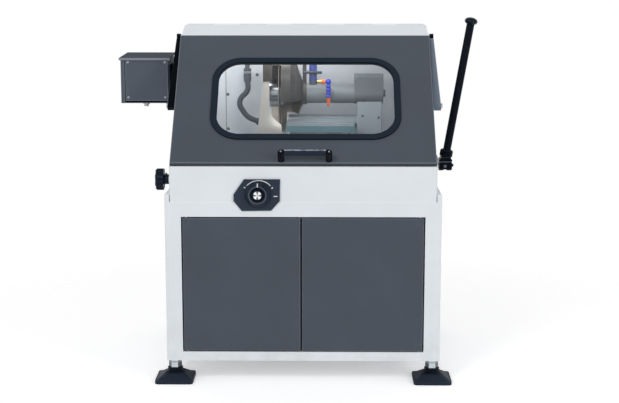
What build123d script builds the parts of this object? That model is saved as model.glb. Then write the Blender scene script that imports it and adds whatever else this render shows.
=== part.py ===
from build123d import *
import math
import os

os.makedirs("parts", exist_ok=True)

# Millimetres. X runs across the machine, Y from its front to its back, Z up from the floor.

# Cabinet
cabinet_width = 860.0
cabinet_depth = 640.0
foot_height = 75.0
cabinet_height = 507.0
side_rise = 25.0
side_return = 15.0
sheet = 2.0
panel_round = 3.0
deck_flange = 38.0
floor_thickness = 3.0
slide_gap = 0.5
vent_count = 7
vent_pitch = 24.0
vent_width = 220.0
vent_x = 190.0
vent_height = 8.0

# Doors
door_margin_bottom = 32.0
door_margin_top = 49.0
door_margin_side = 54.0
door_split = -6.0
door_split_gap = 4.0
door_gap = 3.5
door_depth = 18.0
door_round = 2.5
pivot_inset = 12.0
pivot_radius = 4.0
pivot_reach = 16.0
pivot_head_radius = 6.5
pivot_head = 2.0
pivot_block = 22.0
lip_depth = 16.0

# Running and seating clearances
running_gap = 0.05
seat_gap = 0.1
face_gap = 0.3

# Feet
foot_inset_x = 20.5
foot_inset_y = 45.0
pad_size = 120.0
pad_corner = 12.0
pad_rim = 11.0
pad_ledge = 5.0
cone_top_size = 46.0
cone_top_corner = 20.0
cone_rise = 23.0
collar_radius = 24.0
collar_rise = 8.0
stud_radius = 12.0
stud_seat = 22.0
stud_above_floor = 22.0
nut_flats = 36.0
lock_nut_bottom = 44.0
lock_nut_height = 16.0
floor_nut_height = 12.0

# Basin
basin_height = 112.0
basin_front_inset = 1.0
basin_back_inset = 3.0
basin_wall = 2.0
basin_rim = 16.0
basin_corner = 5.0
drain_x = -250.0
drain_y = 0.0
drain_radius = 16.0
drain_wall = 2.5
drain_drop = 232.0

# Chamber and hood
hood_side_gap = 2.5
hood_front_inset = 2.0
hood_seat_gap = 1.5
hood_hem = 10.5
hood_lip = 14.0
hood_run = 370.0
hood_rise = 385.0
hood_bend = 2.0
hood_flange = 24.0
top_inset = 3.0
top_run = 104.0
top_rise = 31.0
top_flange = 24.0
top_hook = 30.0
rear_drop = 14.0
wall_gap = 4.0
wall_clearance = 8.0
wall_front_gap = 22.0
wall_foot = 13.0
wall_corner = 4.0
knuckle_radius = 5.0
knuckle_count = 9
knuckle_gap = 0.6
hinge_pin_radius = 3.0
hinge_margin = 8.0
rear_overhang = 2.0

# Window and handle
window_width = 605.0
window_height = 336.0
window_corner = 95.0
window_centre = 257.0
window_shift = 6.0
seal_width = 21.0
seal_outside = 6.0
seal_inside = 5.0
seal_round = 3.0
pane_thickness = 4.0
pane_edge = 5.0
pane_sink = 3.0
handle_length = 168.0
handle_place = 11.0
handle_radius = 10.0
handle_rise = 3.0
handle_standoff = 33.0
handle_post_radius = 10.0
handle_round = 6.0

# Hood struts, their ends measured back from the hood's front
strut_offset = 9.0
strut_top_y = 398.0
strut_top_drop = 12.0
strut_low_y = 218.0
strut_low_rise = 168.0
strut_rod_radius = 4.5
strut_eye_radius = 9.0
strut_eye_width = 13.0
strut_rod_shown = 13.0
strut_rod_inside = 120.0
strut_bore_spare = 18.0
strut_tail = 13.0
strut_case_inward = 5.0
strut_case_outward = 20.0
strut_case_depth = 18.0
strut_case_top = 14.0
strut_case_round = 3.0
strut_pin_radius = 5.0
strut_head_radius = 8.0
strut_head = 4.0
bracket_size = 44.0
bracket_thickness = 4.0
bracket_boss_radius = 9.0
stud_boss_radius = 7.0

# Switch box
box_gap = 56.0
box_width = 157.0
box_front = 60.0
box_back = 250.0
box_rise = 160.0
box_height = 149.0
box_fall = 8.0
box_wall = 2.0
cover_gap = 3.0
cover_left_margin = 12.5
cover_lift = 8.0
cover_drop = 0.5
lid_overhang = 5.0
lid_overhang_right = 8.0
lid_lip = 5.0
lid_thickness = 2.5
screw_radius = 4.0
screw_height = 2.0
screw_inset = 9.0
screw_low_inset = 12.0
screw_high_inset = 7.0
gland_in = 76.0
gland_back = 60.0
gland_radius = 10.0
gland_length = 8.0
gland_cap_radius = 8.0
gland_cap = 7.0
arm_back = 130.0
arm_width = 80.0
arm_low = 36.0
arm_height = 90.0
arm_plate = 4.0

# Feed lever, pinion and rack
lever_y = 0.0
lever_rise = 86.0
gear_module = 3.0
gear_teeth = 26
gear_pressure = 20.0
gear_backlash = 0.4
flank_steps = 4
gear_clearance = 0.75
gear_left = 20.0
gear_width = 64.0
shaft_radius = 12.5
shaft_short = 2.0
housing_radius = 20.0
housing_left = 200.0
housing_out = 10.0
housing_flange = 8.0
housing_flange_half = 42.0
housing_flange_low = 34.0
housing_flange_high = 21.0
hub_gap = 15.0
hub_width = 43.0
hub_depth = 46.0
hub_low = 26.0
hub_high = 15.0
hub_round = 6.0
hub_shoulder = 8.0
hub_split = 3.0
hub_neck_radius = 15.0
hub_neck_end = 8.0
hub_collar_radius = 21.5
hub_collar_end = 34.0
hub_collar_edge = 4.0
hub_boss_radius = 8.5
hub_boss_drop = 4.0
hub_bolt_radius = 5.0
hub_bolt_head = 5.0
hub_bolt_drop = 12.0
lever_lean = 9.6
lever_radius = 12.8
lever_foot = 6.0
lever_length = 460.0
lever_knob_radius = 21.5
lever_knob_height = 26.0
lever_knob_steps = 10
lever_knob_socket = 12.0

# Table, carriage and slides
table_left = -58.0
table_width = 221.0
table_front = -140.0
table_depth = 200.0
table_top_rise = 218.0
table_thickness = 20.0
slot_count = 3
slot_pitch = 60.0
slot_width = 12.0
slot_neck = 8.0
slot_foot_width = 20.0
slot_foot_height = 6.0
carriage_plate = 12.0
carriage_inset = 13.0
guide_x_left = -29.0
guide_spacing = 162.0
guide_rise = 143.0
guide_radius = 8.0
bearing_width = 32.0
bearing_length = 30.0
bearing_below = 16.0
bearing_inset = 15.0
leg_thickness = 8.0
rack_left = 42.0
rack_width = 20.0
rack_bottom_rise = 31.5
slide_left = -45.0
slide_width = 195.0
slide_half_depth = 150.0
slide_bottom_rise = 18.3
slide_thickness = 9.7
post_width = 22.0
post_depth = 12.0
post_over = 15.0
rail_left = -75.0
rail_width_x = 235.0
rail_y = 100.0
rail_depth = 24.0
slide_lip = 6.0
slide_lip_drop = 10.0

# Cross feed screw and knob
feed_y = -100.0
feed_rise = 39.0
feed_radius = 8.0
feed_right = 10.0
feed_nut_width = 30.0
feed_nut_depth = 30.0
feed_nut_over = 15.0
feed_boss_radius = 13.0
feed_boss_out = 26.0
hand_knob_out = 53.0
hand_knob_width = 26.0
hand_knob_radius = 35.5
hand_knob_lobes = 7
hand_knob_scallop = 11.0
hand_knob_edge = 4.0
hand_collar_radius = 16.5
hand_collar_width = 15.0
hand_screw_radius = 3.0
hand_screw_out = 4.0

# Spindle head
spindle_y = 150.0
spindle_rise = 299.0
tube_radius = 34.0
tube_bore = 26.0
tube_left = -7.0
tube_right = 167.0
motor_width = 98.0
motor_belly_radius = 36.0
motor_above = 65.0
motor_round = 6.0
motor_hole_x = 202.0
motor_hole_rise = 11.0
motor_hole_radius = 5.0
motor_hole_depth = 18.0
motor_cap_radius = 12.0
motor_cap = 8.0
motor_bore = 16.5
motor_bore_depth = 28.0
pedestal_left = 176.0
pedestal_width = 86.0
pedestal_front = 126.0
pedestal_depth = 58.0
pedestal_base_left = 168.0
pedestal_base_width = 117.0
pedestal_base_depth = 95.0
pedestal_base_front = 112.0
pedestal_base = 18.0
pedestal_saddle = 14.0
bed_gap = 7.0
bed_depth = 101.0
bed_rib_front = 32.0
bed_rib_depth = 16.0
bed_rib_drop = 70.0
bed_rib_left = 40.0
spindle_radius = 15.0
spindle_nose_radius = 12.7
spindle_tail = 185.0
bearing_ring_width = 14.0
bearing_ring_inset = 8.0
wheel_left = -88.0
wheel_thickness = 2.0
wheel_radius = 125.0
flange_radius = 47.0
flange_width = 33.0
flange_back_width = 12.0
flange_groove = 3.0
flange_groove_depth = 1.5
flange_nut_flats = 30.0
flange_nut_width = 10.0

# Wheel guard and spark deflector
guard_left = -121.0
guard_drum_right = -48.0
guard_radius = 132.0
guard_sheet = 3.0
guard_dome = [(-31.0, 105.0), (-22.0, 78.0), (-14.0, 52.0)]
guard_collar = 4.0
guard_collar_width = 12.0
guard_open_over = 100.0
guard_mouth_gap = 6.0
guard_lip_drop = 20.0
guard_side_gap = 8.0
guard_floor_gap = 6.0
guard_arm_left = -9.0
guard_arm_width = 13.0
guard_arm_depth = 20.0
guard_arm_height = 96.0
guard_bracket_over = 48.0
guard_bracket_left = -139.0
guard_bracket_width = 30.0
guard_bracket_height = 74.0
guard_bracket_front = 34.0
guard_bracket_depth = 40.0
deflector_y = 37.0
deflector_sheet = 3.0
deflector_drop = 209.0
deflector_top_width = 21.0
deflector_flare = [(-118.0, -51.0), (-108.0, -71.0), (-91.0, -88.0), (-77.0, -97.0)]
deflector_foot_left = -163.0
deflector_ear = 16.0

# Coolant
valve_x = 27.0
valve_y = 98.0
valve_radius = 13.0
valve_bottom_rise = 332.0
valve_height = 68.0
pipe_radius = 7.0
pipe_up = 52.0
pipe_bend = 20.0
pipe_flange_radius = 16.0
pipe_flange = 6.0
elbow_radius = 6.0
elbow_right = 56.0
elbow_rise = 10.0
connector_radius = 8.0
connector_right = 68.0
bead_radius = 9.0
bead_waist = 5.5
bead_pitch = 11.3
bead_steps = 4
bead_count = 4
bead_drop = 10.0
bead_x = 79.0
nozzle_length = 27.0
nozzle_tip_radius = 3.5
nozzle_top_radius = 8.0
handle_stem_radius = 4.0
handle_stem_inside = 9.0
handle_stem_out = 9.0
cross_bar_radius = 4.5
cross_bar_length = 60.0
cross_bar_rise = 42.0
hose_radius = 9.5
hose_wall_gap = 49.0
hose_path = [(-204.5, 31.0), (-201.0, -3.0), (-244.0, -38.0), (-205.0, -95.0), (-172.0, -107.0)]
hose_bends = [35.0, 34.0, 55.0]
hose_sleeve_radius = 13.0
hose_sleeve_length = 46.0
hose_low_sleeve = 26.0
hose_fitting_radius = 8.0
hose_fitting_up = 46.0

# Rotary switch
dial_x = -140.0
dial_rise = 26.0
dial_plate_thickness = 4.0
dial_outline = [(-42.0, 47.0), (69.0, 47.0), (68.0, -21.0), (41.0, -51.0), (-50.0, -52.0), (-75.0, -21.0),
                (-75.0, -1.0)]
dial_shaft_radius = 5.0
dial_rim_radius = 41.0
dial_rim = 6.0
dial_shoulder_radius = 38.5
dial_top_radius = 28.0
dial_height = 22.0
dial_recess_radius = 25.0
dial_recess = 7.0
dial_boss_radius = 17.0
dial_boss = 4.0
dial_cap_radius = 12.7
dial_cap = 3.0

# Coolant tank and pump
tank_left = -330.0
tank_width = 270.0
tank_front = -170.0
tank_depth = 360.0
tank_height = 272.0
tank_round = 12.0
tank_inlet_radius = 26.0
tank_inlet_depth = 40.0
pump_x = -130.0
pump_y = 90.0
pump_flange_radius = 58.0
pump_flange = 8.0
pump_radius = 46.0
pump_height = 120.0
pump_cap_radius = 40.0
pump_cap = 14.0
pump_port_radius = 11.0
pump_port_length = 70.0
pump_port_rise = 30.0

# Places that follow from the values above
half = cabinet_width / 2
front = -cabinet_depth / 2
back = cabinet_depth / 2
deck = foot_height + cabinet_height
side_top = deck + side_rise
inner_half = half - side_return
basin_half = inner_half - slide_gap
basin_front = front + basin_front_inset
basin_back = back - basin_back_inset
basin_floor = deck + basin_wall
rim = deck + basin_height
hood_half = basin_half - hood_side_gap
top_half = hood_half - top_inset
wall_outer = top_half - sheet - wall_gap
wall_inner = wall_outer - sheet
hood_front = front + hood_front_inset
hem_bottom = rim + hood_seat_gap
hood_low = (hood_front, hem_bottom + hood_hem)
hood_high = (hood_front + hood_run, hem_bottom + hood_rise)
slope_length = math.hypot(hood_high[0] - hood_low[0], hood_high[1] - hood_low[1])
slope_y = (hood_high[0] - hood_low[0]) / slope_length
slope_z = (hood_high[1] - hood_low[1]) / slope_length
fold = (
    hood_high[0] + slope_z * (sheet + seat_gap) + slope_y * sheet,
    hood_high[1] - slope_y * (sheet + seat_gap) + slope_z * sheet,
)
top_end = (fold[0] + top_run, fold[1] + top_rise)
hinge_y = top_end[0] + knuckle_radius + knuckle_gap
hinge_z = top_end[1] - sheet / 2
cover_start = (hinge_y + knuckle_radius + knuckle_gap, top_end[1])
cover_corner = (basin_back - rear_overhang, cover_start[1] - rear_drop)
strut_x = hood_half + strut_offset
strut_top_place = hood_front + strut_top_y
strut_low_place = hood_front + strut_low_y
strut_top_z = fold[1] + (strut_top_place - fold[0]) * top_rise / top_run - strut_top_drop
strut_low_z = rim + strut_low_rise
lever_z = deck + lever_rise
pitch_radius = gear_module * gear_teeth / 2
table_top = deck + table_top_rise
table_bottom = table_top - table_thickness
carriage_bottom = table_bottom - carriage_plate
guide_z = deck + guide_rise
feed_z = deck + feed_rise
hand_knob_left = -half - hand_knob_out
spindle_z = deck + spindle_rise
dial_z = deck + dial_rise
wall_face = cover_corner[0] - sheet
hose_y = wall_face - hose_wall_gap
box_right = -wall_outer - box_gap
box_left = box_right - box_width
box_bottom = rim + box_rise
gland_x = box_left + gland_in
hub_left = half + hub_gap
hub_right = hub_left + hub_width
housing_right = half + housing_out
shaft_end = hub_right - shaft_short
hood_plane = Plane(origin=(0, *hood_low), x_dir=(1, 0, 0), z_dir=(0, -slope_z, slope_y))


def block(x0, x1, y0, y1, z0, z1):
    return Pos((x0 + x1) / 2, (y0 + y1) / 2, (z0 + z1) / 2) * Box(x1 - x0, y1 - y0, z1 - z0)


def bar_x(radius, x0, x1, y, z):
    return Pos((x0 + x1) / 2, y, z) * Rot(0, 90, 0) * Cylinder(radius, x1 - x0)


def bar_y(radius, y0, y1, x, z):
    return Pos(x, (y0 + y1) / 2, z) * Rot(90, 0, 0) * Cylinder(radius, y1 - y0)


def bar_z(radius, z0, z1, x, y):
    return Pos(x, y, (z0 + z1) / 2) * Cylinder(radius, z1 - z0)


def hex_z(flats, z0, z1, x, y):
    return Pos(x, y, z0) * extrude(RegularPolygon(flats / 2, 6, major_radius=False), z1 - z0)


def hex_x(flats, x0, x1, y, z):
    plane = Plane(origin=(x0, y, z), x_dir=(0, 1, 0), z_dir=(1, 0, 0))
    return extrude(plane * RegularPolygon(flats / 2, 6, major_radius=False), x1 - x0)


def prism_x(points, x0, x1):
    plane = Plane(origin=(x0, 0, 0), x_dir=(0, 1, 0), z_dir=(1, 0, 0))
    return extrude(plane * make_face(Polyline(*points, close=True)), x1 - x0)


def prism_y(points, y0, y1):
    plane = Plane(origin=(0, y1, 0), x_dir=(1, 0, 0), z_dir=(0, -1, 0))
    return extrude(plane * make_face(Polyline(*points, close=True)), y1 - y0)


def turned_z(points):
    """A turned piece from a half outline in radius and height, round Z."""
    return revolve(Plane.XZ * make_face(Polyline(*points, close=True)), Axis.Z, 360)


def moved_line(points, distance):
    """The same polyline moved to its right by a distance."""
    normals = []
    for (a0, b0), (a1, b1) in zip(points, points[1:]):
        length = math.hypot(a1 - a0, b1 - b0)
        normals.append(((b1 - b0) / length, (a0 - a1) / length))
    normals = [normals[0]] + normals + [normals[-1]]
    moved = []
    for (a, b), before, after in zip(points, normals, normals[1:]):
        scale = distance / (1 + before[0] * after[0] + before[1] * after[1])
        moved.append((a + (before[0] + after[0]) * scale, b + (before[1] + after[1]) * scale))
    return moved


def bent_sheet(points, bend, x0, x1):
    """A folded sheet whose outer line is given in Y and Z, with rounded bends, run from x0 to x1."""
    inner = moved_line(points, sheet)
    outer_line = FilletPolyline(*points, radius=bend + sheet)
    inner_line = FilletPolyline(*inner, radius=bend)
    ends = [Line(points[0], inner[0]), Line(points[-1], inner[-1])]
    outline = outer_line.edges() + inner_line.edges() + ends[0].edges() + ends[1].edges()
    plane = Plane(origin=(x0, 0, 0), x_dir=(0, 1, 0), z_dir=(1, 0, 0))
    return extrude(plane * make_face(outline), x1 - x0)


pieces = {}


# Cabinet shell
def cabinet_side(sign):
    outer = block(inner_half, half, front, back, foot_height, side_top)
    outer = fillet(outer.faces().sort_by(Axis.X)[-1].edges(), panel_round)
    side = outer - block(
        inner_half - sheet, half - sheet, front + sheet, back - sheet, foot_height - sheet, side_top - sheet
    )
    return side if sign > 0 else mirror(side, Plane.YZ)


pieces["cabinet_side_right"] = cabinet_side(1)
pieces["cabinet_side_left"] = cabinet_side(-1)

door_outer = inner_half + side_return - door_margin_side
door_bottom = foot_height + door_margin_bottom
door_top = deck - door_margin_top
pivot_x = door_outer - pivot_inset
pivot_y = front + door_depth / 2
bay_half = door_outer + door_gap
bay_bottom = door_bottom - door_gap
bay_top = door_top + door_gap

skin = block(-inner_half, inner_half, front, front + sheet, foot_height, deck)
lips = block(
    -bay_half - sheet, bay_half + sheet, front + sheet, front + sheet + lip_depth, bay_bottom - sheet,
    bay_top + sheet
)
bay = block(-bay_half, bay_half, front - sheet, front + sheet + 2 * lip_depth, bay_bottom, bay_top)
shelf = block(-inner_half, inner_half, front + sheet, front + deck_flange, deck - sheet, deck)
frame = skin + lips + shelf - bay
for x in (-pivot_x, pivot_x):
    frame -= bar_z(pivot_radius + seat_gap, bay_bottom - 2 * sheet, bay_top + 2 * sheet, x, pivot_y)
pieces["cabinet_front_frame"] = frame

rear = block(-inner_half, inner_half, back - sheet, back, foot_height, deck)
rear += block(-inner_half, inner_half, back - deck_flange, back - sheet, deck - sheet, deck)
for row in range(vent_count):
    middle = (foot_height + deck) / 2 + (row - vent_count / 2) * vent_pitch
    rear -= block(
        vent_x - vent_width / 2, vent_x + vent_width / 2, back - 2 * sheet, back + sheet, middle,
        middle + vent_height
    )
pieces["cabinet_back_panel"] = rear

foot_x = half - foot_inset_x
foot_y = back - foot_inset_y
feet = [(sx * foot_x, sy * foot_y) for sx in (-1, 1) for sy in (-1, 1)]
floor_half = half - sheet
floor = block(
    -floor_half, floor_half, front + sheet, back - sheet, foot_height, foot_height + floor_thickness
)
for x, y in feet:
    floor -= bar_z(stud_radius + face_gap, foot_height - sheet, foot_height + 2 * floor_thickness, x, y)
pieces["cabinet_floor"] = floor


# Doors and their pivots
def door(x0, x1, pivot):
    outer = block(x0, x1, front, front + door_depth, door_bottom, door_top)
    outer = fillet(outer.faces().sort_by(Axis.Y)[0].edges(), door_round)
    pan = outer - block(
        x0 + sheet, x1 - sheet, front + sheet, front + door_depth + sheet, door_bottom + sheet,
        door_top - sheet
    )
    reach = pivot_inset - sheet
    low_block = (door_bottom + sheet, door_bottom + pivot_block)
    high_block = (door_top - pivot_block, door_top - sheet)
    for z0, z1 in (low_block, high_block):
        pan += block(pivot - reach, pivot + reach, front + sheet, front + door_depth - sheet, z0, z1)
    low_bore = (door_bottom - sheet, door_bottom + pivot_reach)
    high_bore = (door_top - pivot_reach, door_top + sheet)
    for z0, z1 in (low_bore, high_bore):
        pan -= bar_z(pivot_radius + running_gap, z0, z1, pivot, pivot_y)
    return pan


pieces["door_left"] = door(-door_outer, door_split - door_split_gap / 2, -pivot_x)
pieces["door_right"] = door(door_split + door_split_gap / 2, door_outer, pivot_x)

pins = []
for x in (-pivot_x, pivot_x):
    low = bar_z(pivot_radius, bay_bottom - sheet, door_bottom + pivot_reach - sheet, x, pivot_y)
    low += bar_z(pivot_head_radius, bay_bottom - sheet - pivot_head, bay_bottom - sheet, x, pivot_y)
    high = bar_z(pivot_radius, door_top - pivot_reach + sheet, bay_top + sheet, x, pivot_y)
    high += bar_z(pivot_head_radius, bay_top + sheet, bay_top + sheet + pivot_head, x, pivot_y)
    pins += [low, high]
hinge_half = top_half - hinge_margin
pins.append(bar_x(hinge_pin_radius, -hinge_half, hinge_half, hinge_y, hinge_z))
pieces["hinge_pins"] = Compound(children=pins)

# Levelling feet
pads = []
studs = []
cone_top = pad_rim + cone_rise
collar_top = cone_top + collar_rise
for x, y in feet:
    base = extrude(RectangleRounded(pad_size, pad_size, pad_corner), pad_rim)
    low_size = pad_size - 2 * pad_ledge
    low = Pos(0, 0, pad_rim) * RectangleRounded(low_size, low_size, pad_corner)
    high = Pos(0, 0, cone_top) * RectangleRounded(cone_top_size, cone_top_size, cone_top_corner)
    pad = base + loft([low, high]) + bar_z(collar_radius, cone_top, collar_top, 0, 0)
    pad -= bar_z(stud_radius + seat_gap, stud_seat, collar_top + sheet, 0, 0)
    pads.append(Pos(x, y, 0) * pad)
    studs.append(bar_z(stud_radius, stud_seat, foot_height + stud_above_floor, x, y))
    bore = bar_z(stud_radius + seat_gap, stud_seat, foot_height, x, y)
    studs.append(hex_z(nut_flats, lock_nut_bottom, lock_nut_bottom + lock_nut_height, x, y) - bore)
    studs.append(hex_z(nut_flats, foot_height - floor_nut_height, foot_height, x, y) - bore)
pieces["foot_pads"] = Compound(children=pads)
pieces["foot_studs"] = Compound(children=studs)

# Basin
basin = block(-basin_half, basin_half, basin_front, basin_back, deck, rim)
basin = fillet(basin.edges().filter_by(Axis.Z), basin_corner)
basin -= block(
    -basin_half + basin_wall, basin_half - basin_wall, basin_front + basin_wall, basin_back - basin_wall,
    basin_floor, rim - basin_wall
)
basin -= block(
    -basin_half + basin_rim, basin_half - basin_rim, basin_front + basin_rim, basin_back - basin_rim,
    rim - 2 * basin_wall, rim + basin_wall
)
boss_left = -basin_half - feed_boss_out
basin += bar_x(feed_boss_radius, boss_left, -basin_half + basin_wall, feed_y, feed_z)
basin -= bar_x(feed_radius + running_gap, boss_left - sheet, -basin_half + 2 * basin_wall, feed_y, feed_z)
basin -= bar_x(
    housing_radius + seat_gap, basin_half - 2 * basin_wall, basin_half + basin_wall, lever_y, lever_z
)
basin -= bar_z(drain_radius, deck - sheet, basin_floor + sheet, drain_x, drain_y)
pieces["basin"] = basin
drain_low = deck - drain_drop
drain = bar_z(drain_radius + drain_wall, drain_low, deck, drain_x, drain_y)
pieces["drain_pipe"] = drain - bar_z(drain_radius, drain_low - sheet, deck + sheet, drain_x, drain_y)

# Chamber walls
wall_line = moved_line([hood_low, hood_high, top_end], wall_clearance)
wall_front = hood_front + wall_front_gap
wall_front_z = wall_line[0][1] + (wall_front - wall_line[0][0]) * slope_z / slope_y
cover_under = moved_line([cover_start, cover_corner], sheet + slide_gap)
wall_back = cover_corner[0] - sheet
cover_fall = (cover_corner[1] - cover_start[1]) / (cover_corner[0] - cover_start[0])
wall_corner_y = wall_back - wall_corner
wall_corner_z = cover_under[0][1] + (wall_corner_y - cover_under[0][0]) * cover_fall
wall_points = [
    (wall_front, rim), (wall_front, wall_front_z), wall_line[1], wall_line[2],
    (hinge_y, wall_line[2][1]), cover_under[0], (wall_corner_y, wall_corner_z),
    (wall_back, wall_corner_z - wall_corner), (wall_back, rim)
]
wall = prism_x(wall_points, wall_inner, wall_outer)
wall += block(wall_inner - wall_foot, wall_inner, wall_front, wall_back, rim, rim + sheet)
pieces["chamber_side_right"] = wall
pieces["chamber_side_left"] = mirror(wall, Plane.YZ)

cover_half = wall_outer + rear_overhang
cover_line = [cover_start, cover_corner, (cover_corner[0], rim)]
rear_cover = bent_sheet(cover_line, hood_bend, -cover_half, cover_half)
knuckle_width = 2 * hinge_half / knuckle_count
front_knuckles = []
for i in range(knuckle_count):
    x0 = -hinge_half + i * knuckle_width + knuckle_gap / 2
    x1 = x0 + knuckle_width - knuckle_gap
    knuckle = bar_x(knuckle_radius, x0, x1, hinge_y, hinge_z)
    if i % 2 == 0:
        knuckle += block(x0, x1, hinge_y, cover_start[0] + sheet, hinge_z - sheet / 2, hinge_z + sheet / 4)
        rear_cover += knuckle
    else:
        knuckle += block(x0, x1, top_end[0] - sheet, hinge_y, hinge_z - sheet / 2, hinge_z + sheet / 4)
        front_knuckles.append(knuckle)
hinge_bore = bar_x(hinge_pin_radius + running_gap, -half, half, hinge_y, hinge_z)
pieces["chamber_rear_cover"] = rear_cover - hinge_bore

# Hood
hood_line = [(hood_front + hood_lip, hem_bottom), (hood_front, hem_bottom), hood_low, hood_high]
hood = bent_sheet(hood_line, hood_bend, -hood_half, hood_half)
flange_line = moved_line([hood_low, hood_high], hood_flange)
flange_low_y = flange_line[1][0] - (flange_line[1][1] - hem_bottom) * slope_y / slope_z
flange_points = [
    (hood_front + sheet, hem_bottom + sheet), (hood_front + sheet, hood_low[1]),
    (hood_high[0], hood_high[1] - sheet), flange_line[1], (flange_low_y, hem_bottom)
]
for x in (-hood_half, hood_half - sheet):
    hood += prism_x(flange_points, x, x + sheet)


def window_slab(margin, low, high):
    outline = RectangleRounded(window_width - 2 * margin, window_height - 2 * margin, window_corner - margin)
    return hood_plane * Pos(window_shift, window_centre, low) * extrude(outline, high - low)


web = seal_width / 2
hood -= window_slab(web, -3 * sheet, 3 * sheet)
pieces["hood_front_panel"] = hood

seal = window_slab(0, -sheet - seal_inside, seal_outside)
seal -= window_slab(seal_width, -2 * sheet - seal_inside, 2 * seal_outside)
seal_face = seal.faces().sort_by(Axis(hood_plane.origin, hood_plane.z_dir))[-1]
seal = fillet(seal_face.edges(), seal_round)
panel_slot = window_slab(-sheet, -sheet - running_gap, running_gap)
seal -= panel_slot - window_slab(web + running_gap, -2 * sheet, sheet)
pane_face = pane_thickness - pane_sink
seal -= window_slab(seal_width - pane_edge - running_gap, -pane_sink - running_gap, pane_face + running_gap)
pieces["window_seal"] = seal
pieces["window_pane"] = window_slab(seal_width - pane_edge, -pane_sink, pane_face)

top_line = [(fold[0] - slope_y * top_hook, fold[1] - slope_z * top_hook), fold, top_end]
top = bent_sheet(top_line, hood_bend, -top_half, top_half)
top_sides = [
    (fold[0] + sheet, fold[1] - sheet / 2), (top_end[0], top_end[1] - sheet / 2),
    (top_end[0], top_end[1] - top_flange), (fold[0] + 3 * sheet, fold[1] - top_flange)
]
for x in (-top_half, top_half - sheet):
    top += prism_x(top_sides, x, x + sheet)
for knuckle in front_knuckles:
    top += knuckle
top -= hinge_bore
stud_end = strut_x - strut_eye_width / 2 - face_gap
for x0, x1 in ((-stud_end, -top_half + sheet), (top_half - sheet, stud_end)):
    top += bar_x(stud_boss_radius, x0, x1, strut_top_place, strut_top_z)
pieces["hood_top_panel"] = top

post_x = handle_length / 2 - handle_post_radius
post_height = handle_standoff + handle_radius
handle = Pos(0, handle_rise, handle_standoff) * Rot(0, 90, 0) * Cylinder(handle_radius, 2 * post_x)
for x in (-post_x, post_x):
    post = Pos(x, 0, post_height / 2) * Cylinder(handle_post_radius, post_height)
    handle += fillet(post.edges().sort_by(Axis.Z)[-1], handle_round)
pieces["hood_handle"] = hood_plane * Pos(window_shift, handle_place, 0) * handle

# Hood struts
strut_dy = strut_top_place - strut_low_place
strut_dz = strut_top_z - strut_low_z
strut_length = math.hypot(strut_dy, strut_dz)
cylinder_end = strut_length - strut_rod_shown


def along_strut(x):
    return Plane(origin=(x, strut_low_place, strut_low_z), x_dir=(1, 0, 0), z_dir=(0, strut_dy, strut_dz))


def strut_pieces(sign):
    """A flat tapered case on its lower pin, and the rod that slides in it, for the left or the right side."""
    x = sign * strut_x
    plane = along_strut(x)
    low_width = strut_case_inward + strut_case_outward
    low_shift = sign * (strut_case_outward - strut_case_inward) / 2
    low = Pos(low_shift, 0, -strut_tail) * RectangleRounded(low_width, strut_case_depth, strut_case_round)
    high = Pos(0, 0, cylinder_end) * RectangleRounded(strut_case_top, strut_case_top, strut_case_round)
    case = loft([low, high])
    depth = strut_rod_inside + strut_bore_spare
    bore = Cylinder(strut_rod_radius + running_gap, depth + sheet)
    case -= Pos(0, 0, cylinder_end - depth / 2 + sheet) * bore
    case = plane * case
    pin_reach = 2 * strut_case_outward
    case -= bar_x(strut_pin_radius + running_gap, x - pin_reach, x + pin_reach, strut_low_place, strut_low_z)
    rod_start = cylinder_end - strut_rod_inside
    rod = Cylinder(strut_rod_radius, strut_length - rod_start)
    rod = plane * Pos(0, 0, (rod_start + strut_length) / 2) * rod
    eye_half = strut_eye_width / 2
    rod += bar_x(strut_eye_radius, x - eye_half, x + eye_half, strut_top_place, strut_top_z)
    return case, rod


pieces["strut_left_cylinder"], pieces["strut_left_rod"] = strut_pieces(-1)
pieces["strut_right_cylinder"], pieces["strut_right_rod"] = strut_pieces(1)

eye_near = strut_x - strut_case_inward - 2 * face_gap
eye_far = strut_x + strut_case_outward + face_gap
grip = bracket_size / 2
bracket = block(
    wall_outer, wall_outer + bracket_thickness, strut_low_place - grip, strut_low_place + grip,
    strut_low_z - grip, strut_low_z + grip
)
bracket += bar_x(bracket_boss_radius, wall_outer, eye_near, strut_low_place, strut_low_z)
bracket += bar_x(strut_pin_radius, wall_outer, eye_far + strut_head, strut_low_place, strut_low_z)
bracket += bar_x(strut_head_radius, eye_far, eye_far + strut_head, strut_low_place, strut_low_z)
pieces["strut_lower_brackets"] = Compound(children=[bracket, mirror(bracket, Plane.YZ)])

# Switch box
box_top_front = box_bottom + box_height
box_line = [
    (box_front + cover_gap, box_bottom), (box_back, box_bottom), (box_back, box_top_front + box_fall),
    (box_front + cover_gap, box_top_front)
]
inside_line = [
    (box_front - cover_gap, box_bottom + box_wall), (box_back - box_wall, box_bottom + box_wall),
    (box_back - box_wall, box_top_front + box_fall - box_wall),
    (box_front - cover_gap, box_top_front - box_wall)
]
switch_box = prism_x(box_line, box_left, box_right)
switch_box -= prism_x(inside_line, box_left + box_wall, box_right - box_wall)
switch_box += block(
    box_left, box_left + cover_left_margin, box_front, box_front + cover_gap + box_wall, box_bottom,
    box_top_front - cover_drop
)
pieces["electric_box"] = switch_box
cover_left = box_left + cover_left_margin + cover_gap
pieces["electric_box_cover"] = block(
    cover_left, box_right, box_front, box_front + cover_gap, box_bottom + cover_lift,
    box_top_front - cover_drop
)
lid_front = box_front - lid_overhang
lid_back = box_back + lid_overhang
box_slope = box_fall / (box_back - box_front - cover_gap)


def lid_under(y):
    return box_top_front + (y - box_front - cover_gap) * box_slope


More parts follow.
